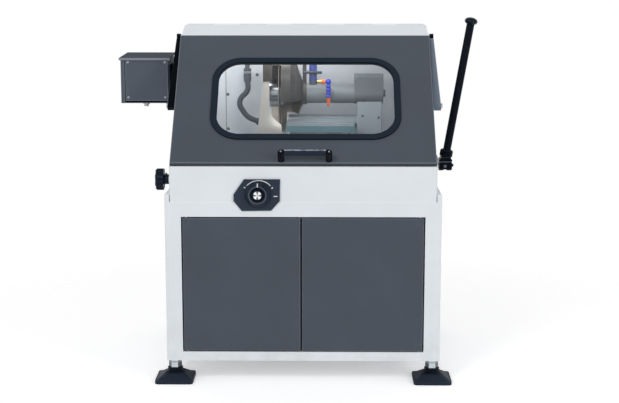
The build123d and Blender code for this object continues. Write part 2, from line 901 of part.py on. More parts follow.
lid_points = [
    (lid_front, lid_under(lid_front) - lid_lip), (lid_front, lid_under(lid_front) + lid_thickness),
    (lid_back, lid_under(lid_back) + lid_thickness), (lid_back, lid_under(lid_back)),
    (lid_front + box_wall, lid_under(lid_front + box_wall)),
    (lid_front + box_wall, lid_under(lid_front) - lid_lip)
]
pieces["electric_box_lid"] = prism_x(lid_points, box_left - lid_overhang, box_right + lid_overhang_right)

fittings = []
for x in (cover_left + screw_inset, box_right - screw_inset):
    for z in (box_bottom + cover_lift + screw_low_inset, box_top_front - lid_lip - screw_high_inset):
        screw = bar_y(screw_radius, box_front - screw_height, box_front, x, z)
        screw -= block(
            x - screw_radius, x + screw_radius, box_front - 2 * screw_height, box_front - screw_height / 2,
            z - screw_height / 4, z + screw_height / 4
        )
        fittings.append(screw)
gland_y = box_front + gland_back
gland = hex_z(2 * gland_radius, box_bottom - gland_length, box_bottom, gland_x, gland_y)
gland += bar_z(
    gland_cap_radius, box_bottom - gland_length - gland_cap, box_bottom - gland_length, gland_x, gland_y
)
fittings.append(gland)
pieces["electric_box_fittings"] = Compound(children=fittings)

arm_bottom = box_bottom + arm_low
arm = block(box_right, -wall_outer, arm_back, arm_back + arm_width, arm_bottom, arm_bottom + arm_height)
arm -= block(
    box_right + arm_plate, -wall_outer - arm_plate, arm_back - sheet, arm_back + arm_width - arm_plate,
    arm_bottom + arm_plate, arm_bottom + arm_height - arm_plate
)
pieces["electric_box_bracket"] = arm

# Feed lever
hub_back = lever_y + hub_depth / 2
hub_bottom = lever_z - hub_low
hub = block(hub_left, hub_right, lever_y - hub_depth / 2, hub_back, hub_bottom, lever_z + hub_high)
hub = fillet(hub.edges().filter_by(Axis.X).group_by(Axis.Z)[0], hub_round)
hub = chamfer(hub.faces().sort_by(Axis.Z)[-1].edges().filter_by(Axis.Y), hub_shoulder)
hub_middle = (hub_left + hub_right) / 2
lean = math.radians(lever_lean)
lever_plane = Plane(
    origin=(hub_middle, lever_y, lever_z + lever_foot), x_dir=(math.cos(lean), 0, -math.sin(lean)),
    z_dir=(math.sin(lean), 0, math.cos(lean))
)
collar = turned_z([
    (0, 0), (hub_neck_radius, 0), (hub_neck_radius, hub_neck_end),
    (hub_collar_radius, hub_neck_end + hub_collar_edge),
    (hub_collar_radius, hub_collar_end - hub_collar_edge),
    (hub_collar_radius - hub_collar_edge, hub_collar_end),
    (0, hub_collar_end)
])
hub += lever_plane * collar
boss_shift = hub_width / 2 - hub_boss_radius
for x in (hub_middle - boss_shift, hub_middle + boss_shift):
    hub += bar_z(hub_boss_radius, hub_bottom - hub_boss_drop, hub_bottom, x, lever_y)
hub += bar_x(
    hub_bolt_radius, hub_right, hub_right + hub_bolt_head, lever_y - hub_depth / 4, lever_z - hub_bolt_drop
)
hub -= bar_x(shaft_radius + running_gap, hub_left - sheet, shaft_end + running_gap, lever_y, lever_z)
hub -= block(
    hub_left - sheet, hub_right + sheet, lever_y - hub_depth, lever_y, lever_z - hub_split / 2,
    lever_z + hub_split / 2
)
rod_low = hub_neck_end
socket_end = hub_collar_end + sheet
hub -= lever_plane * Pos(0, 0, (rod_low - running_gap + socket_end) / 2) * Cylinder(
    lever_radius + running_gap, socket_end - rod_low + running_gap
)
pieces["lever_hub"] = hub
rod_middle = (rod_low + lever_length) / 2
pieces["lever_rod"] = lever_plane * Pos(0, 0, rod_middle) * Cylinder(lever_radius, lever_length - rod_low)
knob_middle = lever_length - lever_knob_socket + lever_knob_height / 2
knob_points = []
for i in range(lever_knob_steps + 1):
    angle = math.pi * (i / lever_knob_steps - 1 / 2)
    knob_rise = lever_knob_height / 2 * math.sin(angle)
    knob_points.append((lever_knob_radius * math.cos(angle), knob_middle + knob_rise))
knob = turned_z(knob_points)
knob -= Pos(0, 0, lever_length / 2 + running_gap) * Cylinder(lever_radius + running_gap, lever_length)
pieces["lever_knob"] = lever_plane * knob

# Pinion with involute teeth, cut from one piece with its shaft
base_radius = pitch_radius * math.cos(math.radians(gear_pressure))
tip_radius = pitch_radius + gear_module
root_radius = pitch_radius - gear_module - gear_clearance


def roll(radius):
    angle = math.acos(min(1.0, base_radius / radius))
    return math.tan(angle) - angle


half_tooth = math.pi / (2 * gear_teeth) - gear_backlash / (2 * pitch_radius) + roll(pitch_radius)
flank_height = (tip_radius - base_radius) / flank_steps
flank_radii = [base_radius + flank_height * i for i in range(flank_steps + 1)]
gear_points = []
for tooth in range(gear_teeth):
    middle = 2 * math.pi * tooth / gear_teeth - math.pi / 2
    flank = [(root_radius, half_tooth)] + [(radius, half_tooth - roll(radius)) for radius in flank_radii]
    for radius, angle in flank:
        gear_points.append((radius * math.cos(middle - angle), radius * math.sin(middle - angle)))
    for radius, angle in reversed(flank):
        gear_points.append((radius * math.cos(middle + angle), radius * math.sin(middle + angle)))
gear_plane = Plane(origin=(gear_left, lever_y, lever_z), x_dir=(0, 1, 0), z_dir=(1, 0, 0))
gear = extrude(gear_plane * make_face(Polyline(*gear_points, close=True)), gear_width)
pieces["pinion_shaft"] = gear + bar_x(shaft_radius, gear_left, shaft_end, lever_y, lever_z)

housing = bar_x(housing_radius, housing_left, housing_right, lever_y, lever_z)
flange_in = basin_half - basin_wall
housing += block(
    flange_in - housing_flange, flange_in, lever_y - housing_flange_half, lever_y + housing_flange_half,
    lever_z - housing_flange_low, lever_z + housing_flange_high
)
housing -= bar_x(shaft_radius + running_gap, housing_left - sheet, housing_right + sheet, lever_y, lever_z)
pieces["pinion_housing"] = housing

# Table with clamping slots, its carriage and the rack
table_right = table_left + table_width
table_back = table_front + table_depth
table = block(table_left, table_right, table_front, table_back, table_bottom, table_top)
for i in range(slot_count):
    y = (table_front + table_back) / 2 + (i - (slot_count - 1) / 2) * slot_pitch
    neck_bottom = table_top - slot_neck
    table -= block(
        table_left - sheet, table_right + sheet, y - slot_width / 2, y + slot_width / 2, neck_bottom,
        table_top + sheet
    )
    table -= block(
        table_left - sheet, table_right + sheet, y - slot_foot_width / 2, y + slot_foot_width / 2,
        neck_bottom - slot_foot_height, neck_bottom
    )
pieces["cutting_table"] = table

carriage = block(
    table_left + carriage_inset, table_right - carriage_inset, table_front, table_back, carriage_bottom,
    table_bottom
)
guides = (guide_x_left, guide_x_left + guide_spacing)
for x in guides:
    for y0 in (table_front + bearing_inset, table_back - bearing_inset - bearing_length):
        carriage += block(
            x - bearing_width / 2, x + bearing_width / 2, y0, y0 + bearing_length, guide_z - bearing_below,
            carriage_bottom
        )
    carriage -= bar_y(guide_radius + running_gap, table_front - sheet, table_back + sheet, x, guide_z)
rack_bottom = deck + rack_bottom_rise
rack_right = rack_left + rack_width
for y0 in (table_front, table_back - leg_thickness):
    carriage += block(rack_left, rack_right, y0, y0 + leg_thickness, rack_bottom, carriage_bottom)
rack_pitch = math.pi * gear_module
pitch_line = lever_z - pitch_radius
rack_root = pitch_line - gear_module - gear_clearance
tooth_half = rack_pitch / 4 - gear_backlash / 2
flank_slope = math.tan(math.radians(gear_pressure))
tip_half = tooth_half - gear_module * flank_slope
foot_half = tooth_half + (gear_module + gear_clearance) * flank_slope
rack_y0 = table_front + leg_thickness
rack_y1 = table_back - leg_thickness
rack_points = [(table_front, rack_bottom), (table_front, rack_root)]
first_tooth = math.ceil((rack_y0 + foot_half - lever_y) / rack_pitch - 1 / 2)
last_tooth = math.floor((rack_y1 - foot_half - lever_y) / rack_pitch - 1 / 2)
for i in range(first_tooth, last_tooth + 1):
    y = lever_y + (i + 1 / 2) * rack_pitch
    rack_points += [(y - foot_half, rack_root), (y - tip_half, pitch_line + gear_module)]
    rack_points += [(y + tip_half, pitch_line + gear_module), (y + foot_half, rack_root)]
rack_points += [(table_back, rack_root), (table_back, rack_bottom)]
carriage += prism_x(rack_points, rack_left, rack_right)
pieces["table_carriage"] = carriage

# Cross slide on its rails, and the guide rods that it carries
slide_right = slide_left + slide_width
slide_bottom = deck + slide_bottom_rise
slide_top = slide_bottom + slide_thickness
slide = block(slide_left, slide_right, -slide_half_depth, slide_half_depth, slide_bottom, slide_top)
post_edge = slide_half_depth - post_depth
for x in guides:
    for y0, y1 in ((-slide_half_depth, -post_edge), (post_edge, slide_half_depth)):
        slide += block(x - post_width / 2, x + post_width / 2, y0, y1, slide_top, guide_z + post_over)
    slide -= bar_y(
        guide_radius + running_gap, -slide_half_depth - sheet, slide_half_depth + sheet, x, guide_z
    )
rail_edge = rail_y + rail_depth / 2 + face_gap
for y0, y1 in ((-rail_edge - slide_lip, -rail_edge), (rail_edge, rail_edge + slide_lip)):
    slide += block(slide_left, slide_right, y0, y1, slide_bottom - slide_lip_drop, slide_bottom)
nut_half = feed_nut_depth / 2
slide += block(
    slide_left, slide_left + feed_nut_width, feed_y - nut_half, feed_y + nut_half, slide_top,
    feed_z + feed_nut_over
)
slide -= bar_x(
    feed_radius + running_gap, slide_left - sheet, slide_left + feed_nut_width + sheet, feed_y, feed_z
)
pieces["cross_slide"] = slide
pieces["guide_rods"] = Compound(
    children=[bar_y(guide_radius, -slide_half_depth, slide_half_depth, x, guide_z) for x in guides]
)
rail_right = rail_left + rail_width_x
rails = []
for y in (-rail_y, rail_y):
    rails.append(
        block(
            rail_left, rail_right, y - rail_depth / 2, y + rail_depth / 2, basin_floor,
            slide_bottom - face_gap
        )
    )
pieces["cross_rails"] = Compound(children=rails)

# Cross feed screw with its hand knob
knob_right = hand_knob_left + hand_knob_width
pieces["feed_screw"] = bar_x(feed_radius, hand_knob_left + 2 * sheet, feed_right, feed_y, feed_z)
lobed = Circle(hand_knob_radius)
for i in range(hand_knob_lobes):
    angle = 2 * math.pi * (i + 1 / 2) / hand_knob_lobes
    reach = hand_knob_radius + hand_knob_scallop / 2
    lobed -= Pos(reach * math.cos(angle), reach * math.sin(angle)) * Circle(hand_knob_scallop)
knob_plane = Plane(origin=(hand_knob_left, feed_y, feed_z), x_dir=(0, 1, 0), z_dir=(1, 0, 0))
hand_knob = extrude(lobed, hand_knob_width)
hand_knob = chamfer(hand_knob.faces().sort_by(Axis.Z)[0].edges(), hand_knob_edge)
hand_knob = knob_plane * hand_knob
hand_knob += bar_x(hand_collar_radius, knob_right, knob_right + hand_collar_width, feed_y, feed_z)
hand_knob += bar_z(
    hand_screw_radius, feed_z + feed_radius + sheet, feed_z + hand_collar_radius + hand_screw_out,
    knob_right + hand_collar_width / 2, feed_y
)
hand_knob -= bar_x(
    feed_radius + running_gap, hand_knob_left + 2 * sheet - running_gap,
    knob_right + hand_collar_width + sheet, feed_y,
    feed_z
)
pieces["hand_knob"] = hand_knob

# Spindle head
motor_right = tube_right + motor_width
motor_top = spindle_z + motor_above
motor_front = spindle_y - motor_belly_radius
motor = block(tube_right, motor_right, motor_front, spindle_y + motor_belly_radius, spindle_z, motor_top)
motor = fillet(motor.edges().filter_by(Axis.X).group_by(Axis.Z)[-1], motor_round)
motor += bar_x(motor_belly_radius, tube_right, motor_right, spindle_y, spindle_z)
motor += bar_x(motor_cap_radius, motor_right, motor_right + motor_cap, spindle_y, spindle_z)
motor -= bar_x(motor_bore, tube_right - sheet, tube_right + motor_bore_depth, spindle_y, spindle_z)
motor_hole_z = spindle_z - motor_belly_radius + motor_hole_rise
motor -= bar_y(
    motor_hole_radius, motor_front - sheet, spindle_y - motor_hole_depth, motor_hole_x, motor_hole_z
)
pieces["spindle_motor"] = motor

pedestal = block(
    pedestal_left, pedestal_left + pedestal_width, pedestal_front, pedestal_front + pedestal_depth,
    basin_floor,
    spindle_z - pedestal_saddle
)
pedestal = fillet(pedestal.edges().filter_by(Axis.Z), motor_round)
pedestal += block(
    pedestal_base_left, pedestal_base_left + pedestal_base_width, pedestal_base_front,
    pedestal_base_front + pedestal_base_depth, basin_floor, basin_floor + pedestal_base
)
# A fixed bed carries on the table's level behind it, on a rib that runs out from the pedestal
bed_front = table_back + pitch_radius * math.pi / 2 + bed_gap
bed_right = pedestal_left + motor_round
rib_front = bed_front + bed_rib_front
pedestal += block(table_left, bed_right, bed_front, bed_front + bed_depth, table_bottom, table_top)
rib_points = [
    (bed_right, table_bottom), (bed_right, table_bottom - bed_rib_drop),
    (table_left + bed_rib_left, table_bottom)
]
pedestal += prism_y(rib_points, rib_front, rib_front + bed_rib_depth)
pieces["head_pedestal"] = pedestal - bar_x(
    motor_belly_radius + running_gap, tube_right, motor_right, spindle_y, spindle_z
)

tube = bar_x(tube_radius, tube_left, tube_right, spindle_y, spindle_z)
pieces["spindle_tube"] = tube - bar_x(tube_bore, tube_left - sheet, tube_right + sheet, spindle_y, spindle_z)
rings = []
for x0 in (tube_left + bearing_ring_inset, tube_right - bearing_ring_inset - bearing_ring_width):
    ring = bar_x(tube_bore - running_gap, x0, x0 + bearing_ring_width, spindle_y, spindle_z)
    ring -= bar_x(
        spindle_radius + running_gap, x0 - sheet, x0 + bearing_ring_width + sheet, spindle_y, spindle_z
    )
    rings.append(ring)
pieces["spindle_bearings"] = Compound(children=rings)

wheel_right = wheel_left + wheel_thickness
flange_left = wheel_left - flange_width
nut_left = flange_left - flange_nut_width
shoulder = wheel_right + flange_back_width
spindle = bar_x(spindle_radius, shoulder, spindle_tail, spindle_y, spindle_z)
spindle += bar_x(spindle_nose_radius, nut_left, shoulder, spindle_y, spindle_z)
pieces["spindle"] = spindle
nose_bore = bar_x(spindle_nose_radius + running_gap, nut_left - sheet, shoulder + sheet, spindle_y, spindle_z)
outer_flange = bar_x(flange_radius, flange_left, wheel_left, spindle_y, spindle_z)
for i in (1, 2):
    x0 = flange_left + i * flange_width / 3
    groove = bar_x(flange_radius + sheet, x0, x0 + flange_groove, spindle_y, spindle_z)
    groove -= bar_x(
        flange_radius - flange_groove_depth, x0 - sheet, x0 + flange_groove + sheet, spindle_y, spindle_z
    )
    outer_flange -= groove
outer_flange += hex_x(flange_nut_flats, nut_left, flange_left, spindle_y, spindle_z)
inner_flange = bar_x(flange_radius, wheel_right, shoulder, spindle_y, spindle_z)
pieces["wheel_flange"] = Compound(children=[outer_flange - nose_bore, inner_flange - nose_bore])
pieces["abrasive_wheel"] = bar_x(wheel_radius, wheel_left, wheel_right, spindle_y, spindle_z) - nose_bore

# Wheel guard: a turned shell, open at the left, with a mouth in front and clear of the bed below
collar_inner = tube_radius + face_gap
collar_outer = collar_inner + guard_collar
shell_outer = [
    (guard_left, guard_radius), (guard_drum_right, guard_radius), *guard_dome, (tube_left, collar_outer)
]
shell_inner = moved_line(shell_outer, guard_sheet)
shell_points = shell_outer + [(tube_left, collar_inner)] + list(reversed(shell_inner))[1:]
shell_plane = Plane(origin=(0, spindle_y, spindle_z), x_dir=(1, 0, 0), z_dir=(0, -1, 0))
spindle_axis = Axis((0, spindle_y, spindle_z), (1, 0, 0))
guard = revolve(shell_plane * make_face(Polyline(*shell_points, close=True)), spindle_axis, 360)
mouth_right = wheel_right + guard_mouth_gap
guard_front = spindle_y - guard_radius - sheet
guard_low = spindle_z - guard_radius - sheet
guard -= block(
    guard_left - sheet, mouth_right, guard_front, spindle_y, guard_low, spindle_z + guard_open_over
)
guard -= block(
    mouth_right, tube_left + sheet, guard_front, spindle_y, guard_low, spindle_z - guard_lip_drop
)
guard -= block(
    table_left - guard_side_gap, tube_left + sheet, guard_front, spindle_y + guard_radius + sheet, guard_low,
    table_top + guard_floor_gap
)
collar = bar_x(collar_outer, tube_left - guard_collar, tube_left + guard_collar_width, spindle_y, spindle_z)
guard_arm = block(
    guard_arm_left, guard_arm_left + guard_arm_width, spindle_y - guard_arm_depth / 2,
    spindle_y + guard_arm_depth / 2,
    spindle_z, spindle_z + collar_outer + guard_arm_height
)
collar += guard_arm
collar -= bar_x(
    collar_inner, tube_left - 2 * guard_collar, tube_left + 2 * guard_collar_width, spindle_y, spindle_z
)
guard += collar
bracket_bottom = spindle_z + guard_bracket_over
guard += block(
    guard_bracket_left, guard_bracket_left + guard_bracket_width, guard_bracket_front,
    guard_bracket_front + guard_bracket_depth, bracket_bottom, bracket_bottom + guard_bracket_height
)
pieces["wheel_guard"] = guard

deflector_top = bracket_bottom
deflector_right = guard_bracket_left + deflector_top_width
deflector_low = deflector_top - deflector_drop
deflector_points = [(guard_bracket_left, deflector_top), (deflector_right, deflector_top)]
deflector_points += [(x, spindle_z + rise) for x, rise in deflector_flare]
deflector_points += [(deflector_flare[-1][0], deflector_low), (deflector_foot_left, deflector_low)]
deflector_back = deflector_y + deflector_sheet
deflector = prism_y(deflector_points, deflector_y, deflector_back)
deflector += block(
    guard_bracket_left, deflector_right, deflector_back, deflector_back + deflector_ear,
    deflector_top - deflector_sheet, deflector_top
)
pieces["spark_deflector"] = deflector

# Coolant valve, jointed hose and nozzle
valve_bottom = deck + valve_bottom_rise
valve_top = valve_bottom + valve_height
valve = bar_z(valve_radius, valve_bottom, valve_top, valve_x, valve_y)
riser = FilletPolyline(
    (valve_x, valve_y, valve_top - sheet), (valve_x, valve_y, valve_top + pipe_up),
    (valve_x, wall_face, valve_top + pipe_up), radius=pipe_bend
)
valve += sweep(Plane(origin=riser @ 0, z_dir=riser % 0) * Circle(pipe_radius), path=riser)
valve += bar_y(pipe_flange_radius, wall_face - pipe_flange, wall_face, valve_x, valve_top + pipe_up)
elbow_z = valve_bottom + elbow_rise
valve += bar_x(elbow_radius, valve_x, elbow_right, valve_y, elbow_z)
stem_z = valve_bottom + cross_bar_rise
stem_front = valve_y - valve_radius
stem_end = stem_front + handle_stem_inside
valve -= bar_y(handle_stem_radius + running_gap, stem_front - sheet, stem_end + running_gap, valve_x, stem_z)
pieces["coolant_valve"] = valve
bar_front = stem_front - handle_stem_out
turn = bar_y(handle_stem_radius, bar_front, stem_end, valve_x, stem_z)
bar_half = cross_bar_length / 2
turn += bar_x(cross_bar_radius, valve_x - bar_half, valve_x + bar_half, bar_front, stem_z)
pieces["valve_handle"] = turn

# Jointed hose: each link is a turned barrel with a narrow waist, the first one lying down behind the elbow
link = []
for i in range(bead_steps + 1):
    angle = math.pi * i / bead_steps
    link.append((bead_waist + (bead_radius - bead_waist) * math.sin(angle), -bead_pitch * i / bead_steps))
chain = [(0, 0)]
for i in range(bead_count):
    chain += [(radius, height - i * bead_pitch) for radius, height in link[(1 if i else 0):]]
chain.append((0, -bead_count * bead_pitch))
chain_top = elbow_z - bead_drop
links = Pos(bead_x, valve_y, chain_top) * turned_z(chain)
knee = Pos(bead_x, valve_y, elbow_z) * Sphere(bead_radius)
knee += bar_x(bead_waist, connector_right, bead_x, valve_y, elbow_z)
knee += bar_z(bead_waist, chain_top, elbow_z, bead_x, valve_y)
pieces["coolant_hose"] = links + knee
connector = bar_x(connector_radius, elbow_right, connector_right, valve_y, elbow_z)
nozzle_top = chain_top - bead_count * bead_pitch
nozzle = Cone(nozzle_tip_radius, nozzle_top_radius, nozzle_length)
nozzle = Pos(bead_x, valve_y, nozzle_top - nozzle_length / 2) * nozzle
pieces["coolant_nozzle"] = Compound(children=[connector, nozzle])

# Black supply hose on its two rear-wall fittings
hose_points = [(x, hose_y, spindle_z + rise) for x, rise in hose_path]
hose_line = FilletPolyline(*hose_points, radius=hose_bends)
hose = sweep(Plane(origin=hose_line @ 0, z_dir=hose_line % 0) * Circle(hose_radius), path=hose_line)
high_x, _, high_z = hose_points[0]
sleeve_top = high_z + hose_sleeve_length
hose += bar_z(hose_sleeve_radius, high_z, sleeve_top, high_x, hose_y)
fitting_line = FilletPolyline(
    (high_x, hose_y, sleeve_top - sheet), (high_x, hose_y, sleeve_top + hose_fitting_up),
    (high_x, wall_face, sleeve_top + hose_fitting_up), radius=pipe_bend
)
fitting_start = Plane(origin=fitting_line @ 0, z_dir=fitting_line % 0)
hose += sweep(fitting_start * Circle(hose_fitting_radius), path=fitting_line)
low_plane = Plane(origin=hose_line @ 1, x_dir=(0, 1, 0), z_dir=hose_line % 1)
hose += low_plane * Pos(0, 0, hose_low_sleeve / 2) * Cylinder(hose_sleeve_radius, hose_low_sleeve)
low_end = low_plane.from_local_coords((0, 0, hose_low_sleeve - hose_fitting_radius))
hose += bar_y(hose_fitting_radius, hose_y, wall_face, low_end.X, low_end.Z)
pieces["supply_hose"] = hose

# Rotary switch
plate_front = front - dial_plate_thickness
plate = prism_y([(dial_x + x, dial_z + z) for x, z in dial_outline], plate_front, front)
plate -= bar_y(dial_shaft_radius + running_gap, plate_front - sheet, front + sheet, dial_x, dial_z)
pieces["dial_plate"] = plate
knob_back = plate_front - face_gap
dial = turned_z([
    (0, 0), (dial_rim_radius, 0), (dial_rim_radius, dial_rim), (dial_shoulder_radius, dial_rim + sheet),
    (dial_top_radius, dial_height), (dial_recess_radius, dial_height),
    (dial_recess_radius, dial_height - dial_recess), (dial_boss_radius, dial_height - dial_recess),
    (dial_boss_radius, dial_height - dial_recess + dial_boss),
    (dial_cap_radius, dial_height - dial_recess + dial_boss), (dial_cap_radius, dial_height + dial_cap),
    (0, dial_height + dial_cap)
])
dial = Plane(origin=(dial_x, knob_back, dial_z), x_dir=(1, 0, 0), z_dir=(0, -1, 0)) * dial
dial += bar_y(dial_shaft_radius, knob_back, front - face_gap, dial_x, dial_z)
pieces["dial_knob"] = dial

# Coolant tank and pump behind the left door
tank_bottom = foot_height + floor_thickness
tank_top = tank_bottom + tank_height
tank = block(tank_left, tank_left + tank_width, tank_front, tank_front + tank_depth, tank_bottom, tank_top)
tank = fillet(tank.edges().filter_by(Axis.Z), tank_round)
tank -= bar_z(tank_inlet_radius, tank_top - tank_inlet_depth, tank_top + sheet, drain_x, drain_y)
pieces["coolant_tank"] = tank
pump_top = tank_top + pump_flange + pump_height
pump = bar_z(pump_flange_radius, tank_top, tank_top + pump_flange, pump_x, pump_y)
pump += bar_z(pump_radius, tank_top + pump_flange, pump_top, pump_x, pump_y)
pump += bar_z(pump_cap_radius, pump_top, pump_top + pump_cap, pump_x, pump_y)
pump += bar_y(pump_port_radius, pump_y, pump_y + pump_port_length, pump_x, tank_top + pump_port_rise)
pieces["coolant_pump"] = pump

for name, piece in pieces.items():
    export_step(piece, f"parts/{name}.step")
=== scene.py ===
# %% [markdown]
# A bench lesson on dressing a workshop machine. The machine is a floor-standing cutter for metal samples: a
# white sheet-metal cabinet on four pads, a dark leaning hood with a window, a feed lever on its right, a
# switch box on its left. The solid pieces arrive already placed, in metres, with +X to the lever, +Y to the
# back and +Z up. This file only gives them their finishes, adds the small trim, and sets the light and the
# camera.

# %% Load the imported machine
import math

import bmesh
import bpy
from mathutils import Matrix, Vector


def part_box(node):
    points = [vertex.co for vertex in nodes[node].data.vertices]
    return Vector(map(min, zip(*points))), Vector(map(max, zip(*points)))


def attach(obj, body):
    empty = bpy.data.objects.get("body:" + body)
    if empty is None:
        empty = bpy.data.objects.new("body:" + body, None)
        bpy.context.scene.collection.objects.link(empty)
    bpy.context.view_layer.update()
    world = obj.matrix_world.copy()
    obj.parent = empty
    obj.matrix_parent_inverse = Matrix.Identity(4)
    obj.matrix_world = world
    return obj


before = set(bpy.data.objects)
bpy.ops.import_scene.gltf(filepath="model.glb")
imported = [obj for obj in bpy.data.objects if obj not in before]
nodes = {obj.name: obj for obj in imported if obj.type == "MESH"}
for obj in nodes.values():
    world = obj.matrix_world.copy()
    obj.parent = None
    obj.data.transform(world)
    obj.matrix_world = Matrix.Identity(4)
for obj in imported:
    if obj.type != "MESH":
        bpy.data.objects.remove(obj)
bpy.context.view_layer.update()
MM = 0.001

# %% [markdown]
# Paint, rubber and steel differ in how they scatter light, not only in colour, so every finish is a small
# node graph. Drawing such graphs by hand is slow to read. Here one class wraps a node's output, and plain
# arithmetic on it adds the Math nodes, so a mask reads like the sum that it is.


# %% A socket that does arithmetic
class Wire:
    """An output socket in one material. Arithmetic on it adds Math nodes, and make() adds any other node."""

    def __init__(self, tree, socket=None):
        self.tree = tree
        self.socket = socket

    def make(self, kind, settings=None, inputs=None, out=0):
        node = self.tree.nodes.new(kind)
        for key, value in (settings or {}).items():
            setattr(node, key, value)
        for key, value in (inputs or {}).items():
            self.feed(node.inputs[key], value)
        return Wire(self.tree, node.outputs[out])

    def feed(self, socket, value):
        if isinstance(value, Wire):
            self.tree.links.new(value.socket, socket)
        else:
            socket.default_value = value

    def parts(self, *names):
        """Other outputs of the node that this socket belongs to."""
        return [Wire(self.tree, self.socket.node.outputs[name]) for name in names]

    def math(self, operation, first, second=0.0):
        return self.make("ShaderNodeMath", {"operation": operation}, {0: first, 1: second})

    def ramp(self, low, high):
        """0 below low, 1 above high, and a straight climb between."""
        limits = {"Value": self, "From Min": low, "From Max": high}
        return self.make("ShaderNodeMapRange", {"clamp": True}, limits)

    def __add__(self, other):
        return self.math("ADD", self, other)

    def __radd__(self, other):
        return self.math("ADD", other, self)

    def __sub__(self, other):
        return self.math("SUBTRACT", self, other)

    def __rsub__(self, other):
        return self.math("SUBTRACT", other, self)

    def __mul__(self, other):
        return self.math("MULTIPLY", self, other)

    def __rmul__(self, other):
        return self.math("MULTIPLY", other, self)

    def __gt__(self, other):
        return self.math("GREATER_THAN", self, other)

    def __lt__(self, other):
        return self.math("LESS_THAN", self, other)


print("shader arithmetic ready")

# %% [markdown]
# A colour is easiest to name as a picture shows it, from 0 to 255. A shader counts light itself, which a
# picture stores on a curve, so each part of the colour is taken back off that curve first.


# %% Colours
def srgb(red, green, blue):
    """A colour as a picture shows it, turned into the linear values that a shader takes."""
    linear = []
    for part in (red, green, blue):
        share = part / 255
        linear.append(share / 12.92 if share <= 0.04045 else ((share + 0.055) / 1.055) ** 2.4)
    return (*linear, 1.0)


def scaled(colour, factor):
    """The same colour, lighter or darker."""
    return (*(min(1.0, part * factor) for part in colour[:3]), 1.0)


print("half grey is", round(srgb(128, 128, 128)[0], 3), "to a shader")

# %% [markdown]
# Every finish starts alike: a Principled shader, the place on the piece in metres, and a few noises. Real
# paint is never one flat colour, so a broad noise shifts its tone by a percent or two and a fine one gives
# the skin its peel. Edges are found by asking for a rounded normal and comparing it with the true one.


# %% What every finish starts from
class Finish:
    """One material being built: its shader, the place on the piece, and helpers that only repeat."""

    BEND_START, BEND_FULL, BEVEL_RAYS = 0.008, 0.06, 8

    def __init__(self, name, **constants):
        self.material = bpy.data.materials.new(name)
        self.material.use_nodes = True
        self.tree = self.material.node_tree
        self.shader = self.tree.nodes["Principled BSDF"]
        self.wire = Wire(self.tree)
        self.place = self.wire.make("ShaderNodeTexCoord", out="Object")
        split = self.wire.make("ShaderNodeSeparateXYZ", inputs={0: self.place})
        self.x, self.y, self.z = split.parts("X", "Y", "Z")
        for socket, value in constants.items():
            self.shader.inputs[socket.replace("_", " ")].default_value = value

    def vector(self, operation, first, second, out=0):
        return self.wire.make("ShaderNodeVectorMath", {"operation": operation}, {0: first, 1: second}, out)

    def noise(self, grain, detail=2.0, stretch=None):
        """Noise whose features are about grain metres wide, drawn out along an axis by stretch."""
        place = self.vector("MULTIPLY", self.place, stretch) if stretch else self.place
        sockets = {"Vector": place, "Scale": 1 / grain, "Detail": detail}
        return self.wire.make("ShaderNodeTexNoise", inputs=sockets, out="Fac")

    def mix(self, share, first, second):
        sockets = {"Factor": share, 6: first, 7: second}
        return self.wire.make("ShaderNodeMix", {"data_type": "RGBA"}, sockets, out=2)

    def facing(self, direction):
        """How squarely the piece, as it stands at rest, faces a direction, from -1 to 1."""
        normal = self.wire.make("ShaderNodeTexCoord", out="Normal")
        return self.vector("DOT_PRODUCT", normal, direction, out="Value")

    def edges(self, width):
        """1 at the outer edges and bends of a piece, 0 on its flats."""
        rounded = self.wire.make("ShaderNodeBevel", {"samples": self.BEVEL_RAYS}, {"Radius": width})
        true = self.wire.make("ShaderNodeNewGeometry", out="Normal")
        bent = 1 - self.vector("DOT_PRODUCT", rounded, true, out="Value")
        return bent.ramp(self.BEND_START, self.BEND_FULL)

    def bump(self, height, distance, normal=None):
        sockets = {"Height": height, "Distance": distance}
        if normal:
            sockets["Normal"] = normal
        self.set("Normal", self.wire.make("ShaderNodeBump", inputs=sockets))

    def set(self, socket, value):
        self.wire.feed(self.shader.inputs[socket], value)


def box_of(name):
    """The lowest and the highest corner of a piece at rest."""
    low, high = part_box(name)
    return Vector(low), Vector(high)


print("finish builder ready")

# %% [markdown]
# The cabinet is powder-coated: a satin skin with a faint orange peel, a little dusty near the floor, and
# painted lighter along its edges and bends, a painted highlight. The dark panels have the same coat with a
# sandier grain, and the chamber's inside has dried splashes. One function makes them all, and a patch lets
# one place of a piece take another colour.


# %% Powder coats
CLOUD, SPECK = 160 * MM, 1.2 * MM
DUST_TOP, DUST_FULL, DUST_PATCH = 340 * MM, 70 * MM, 50 * MM
DROP, DROP_PATCH = 11 * MM, 90 * MM


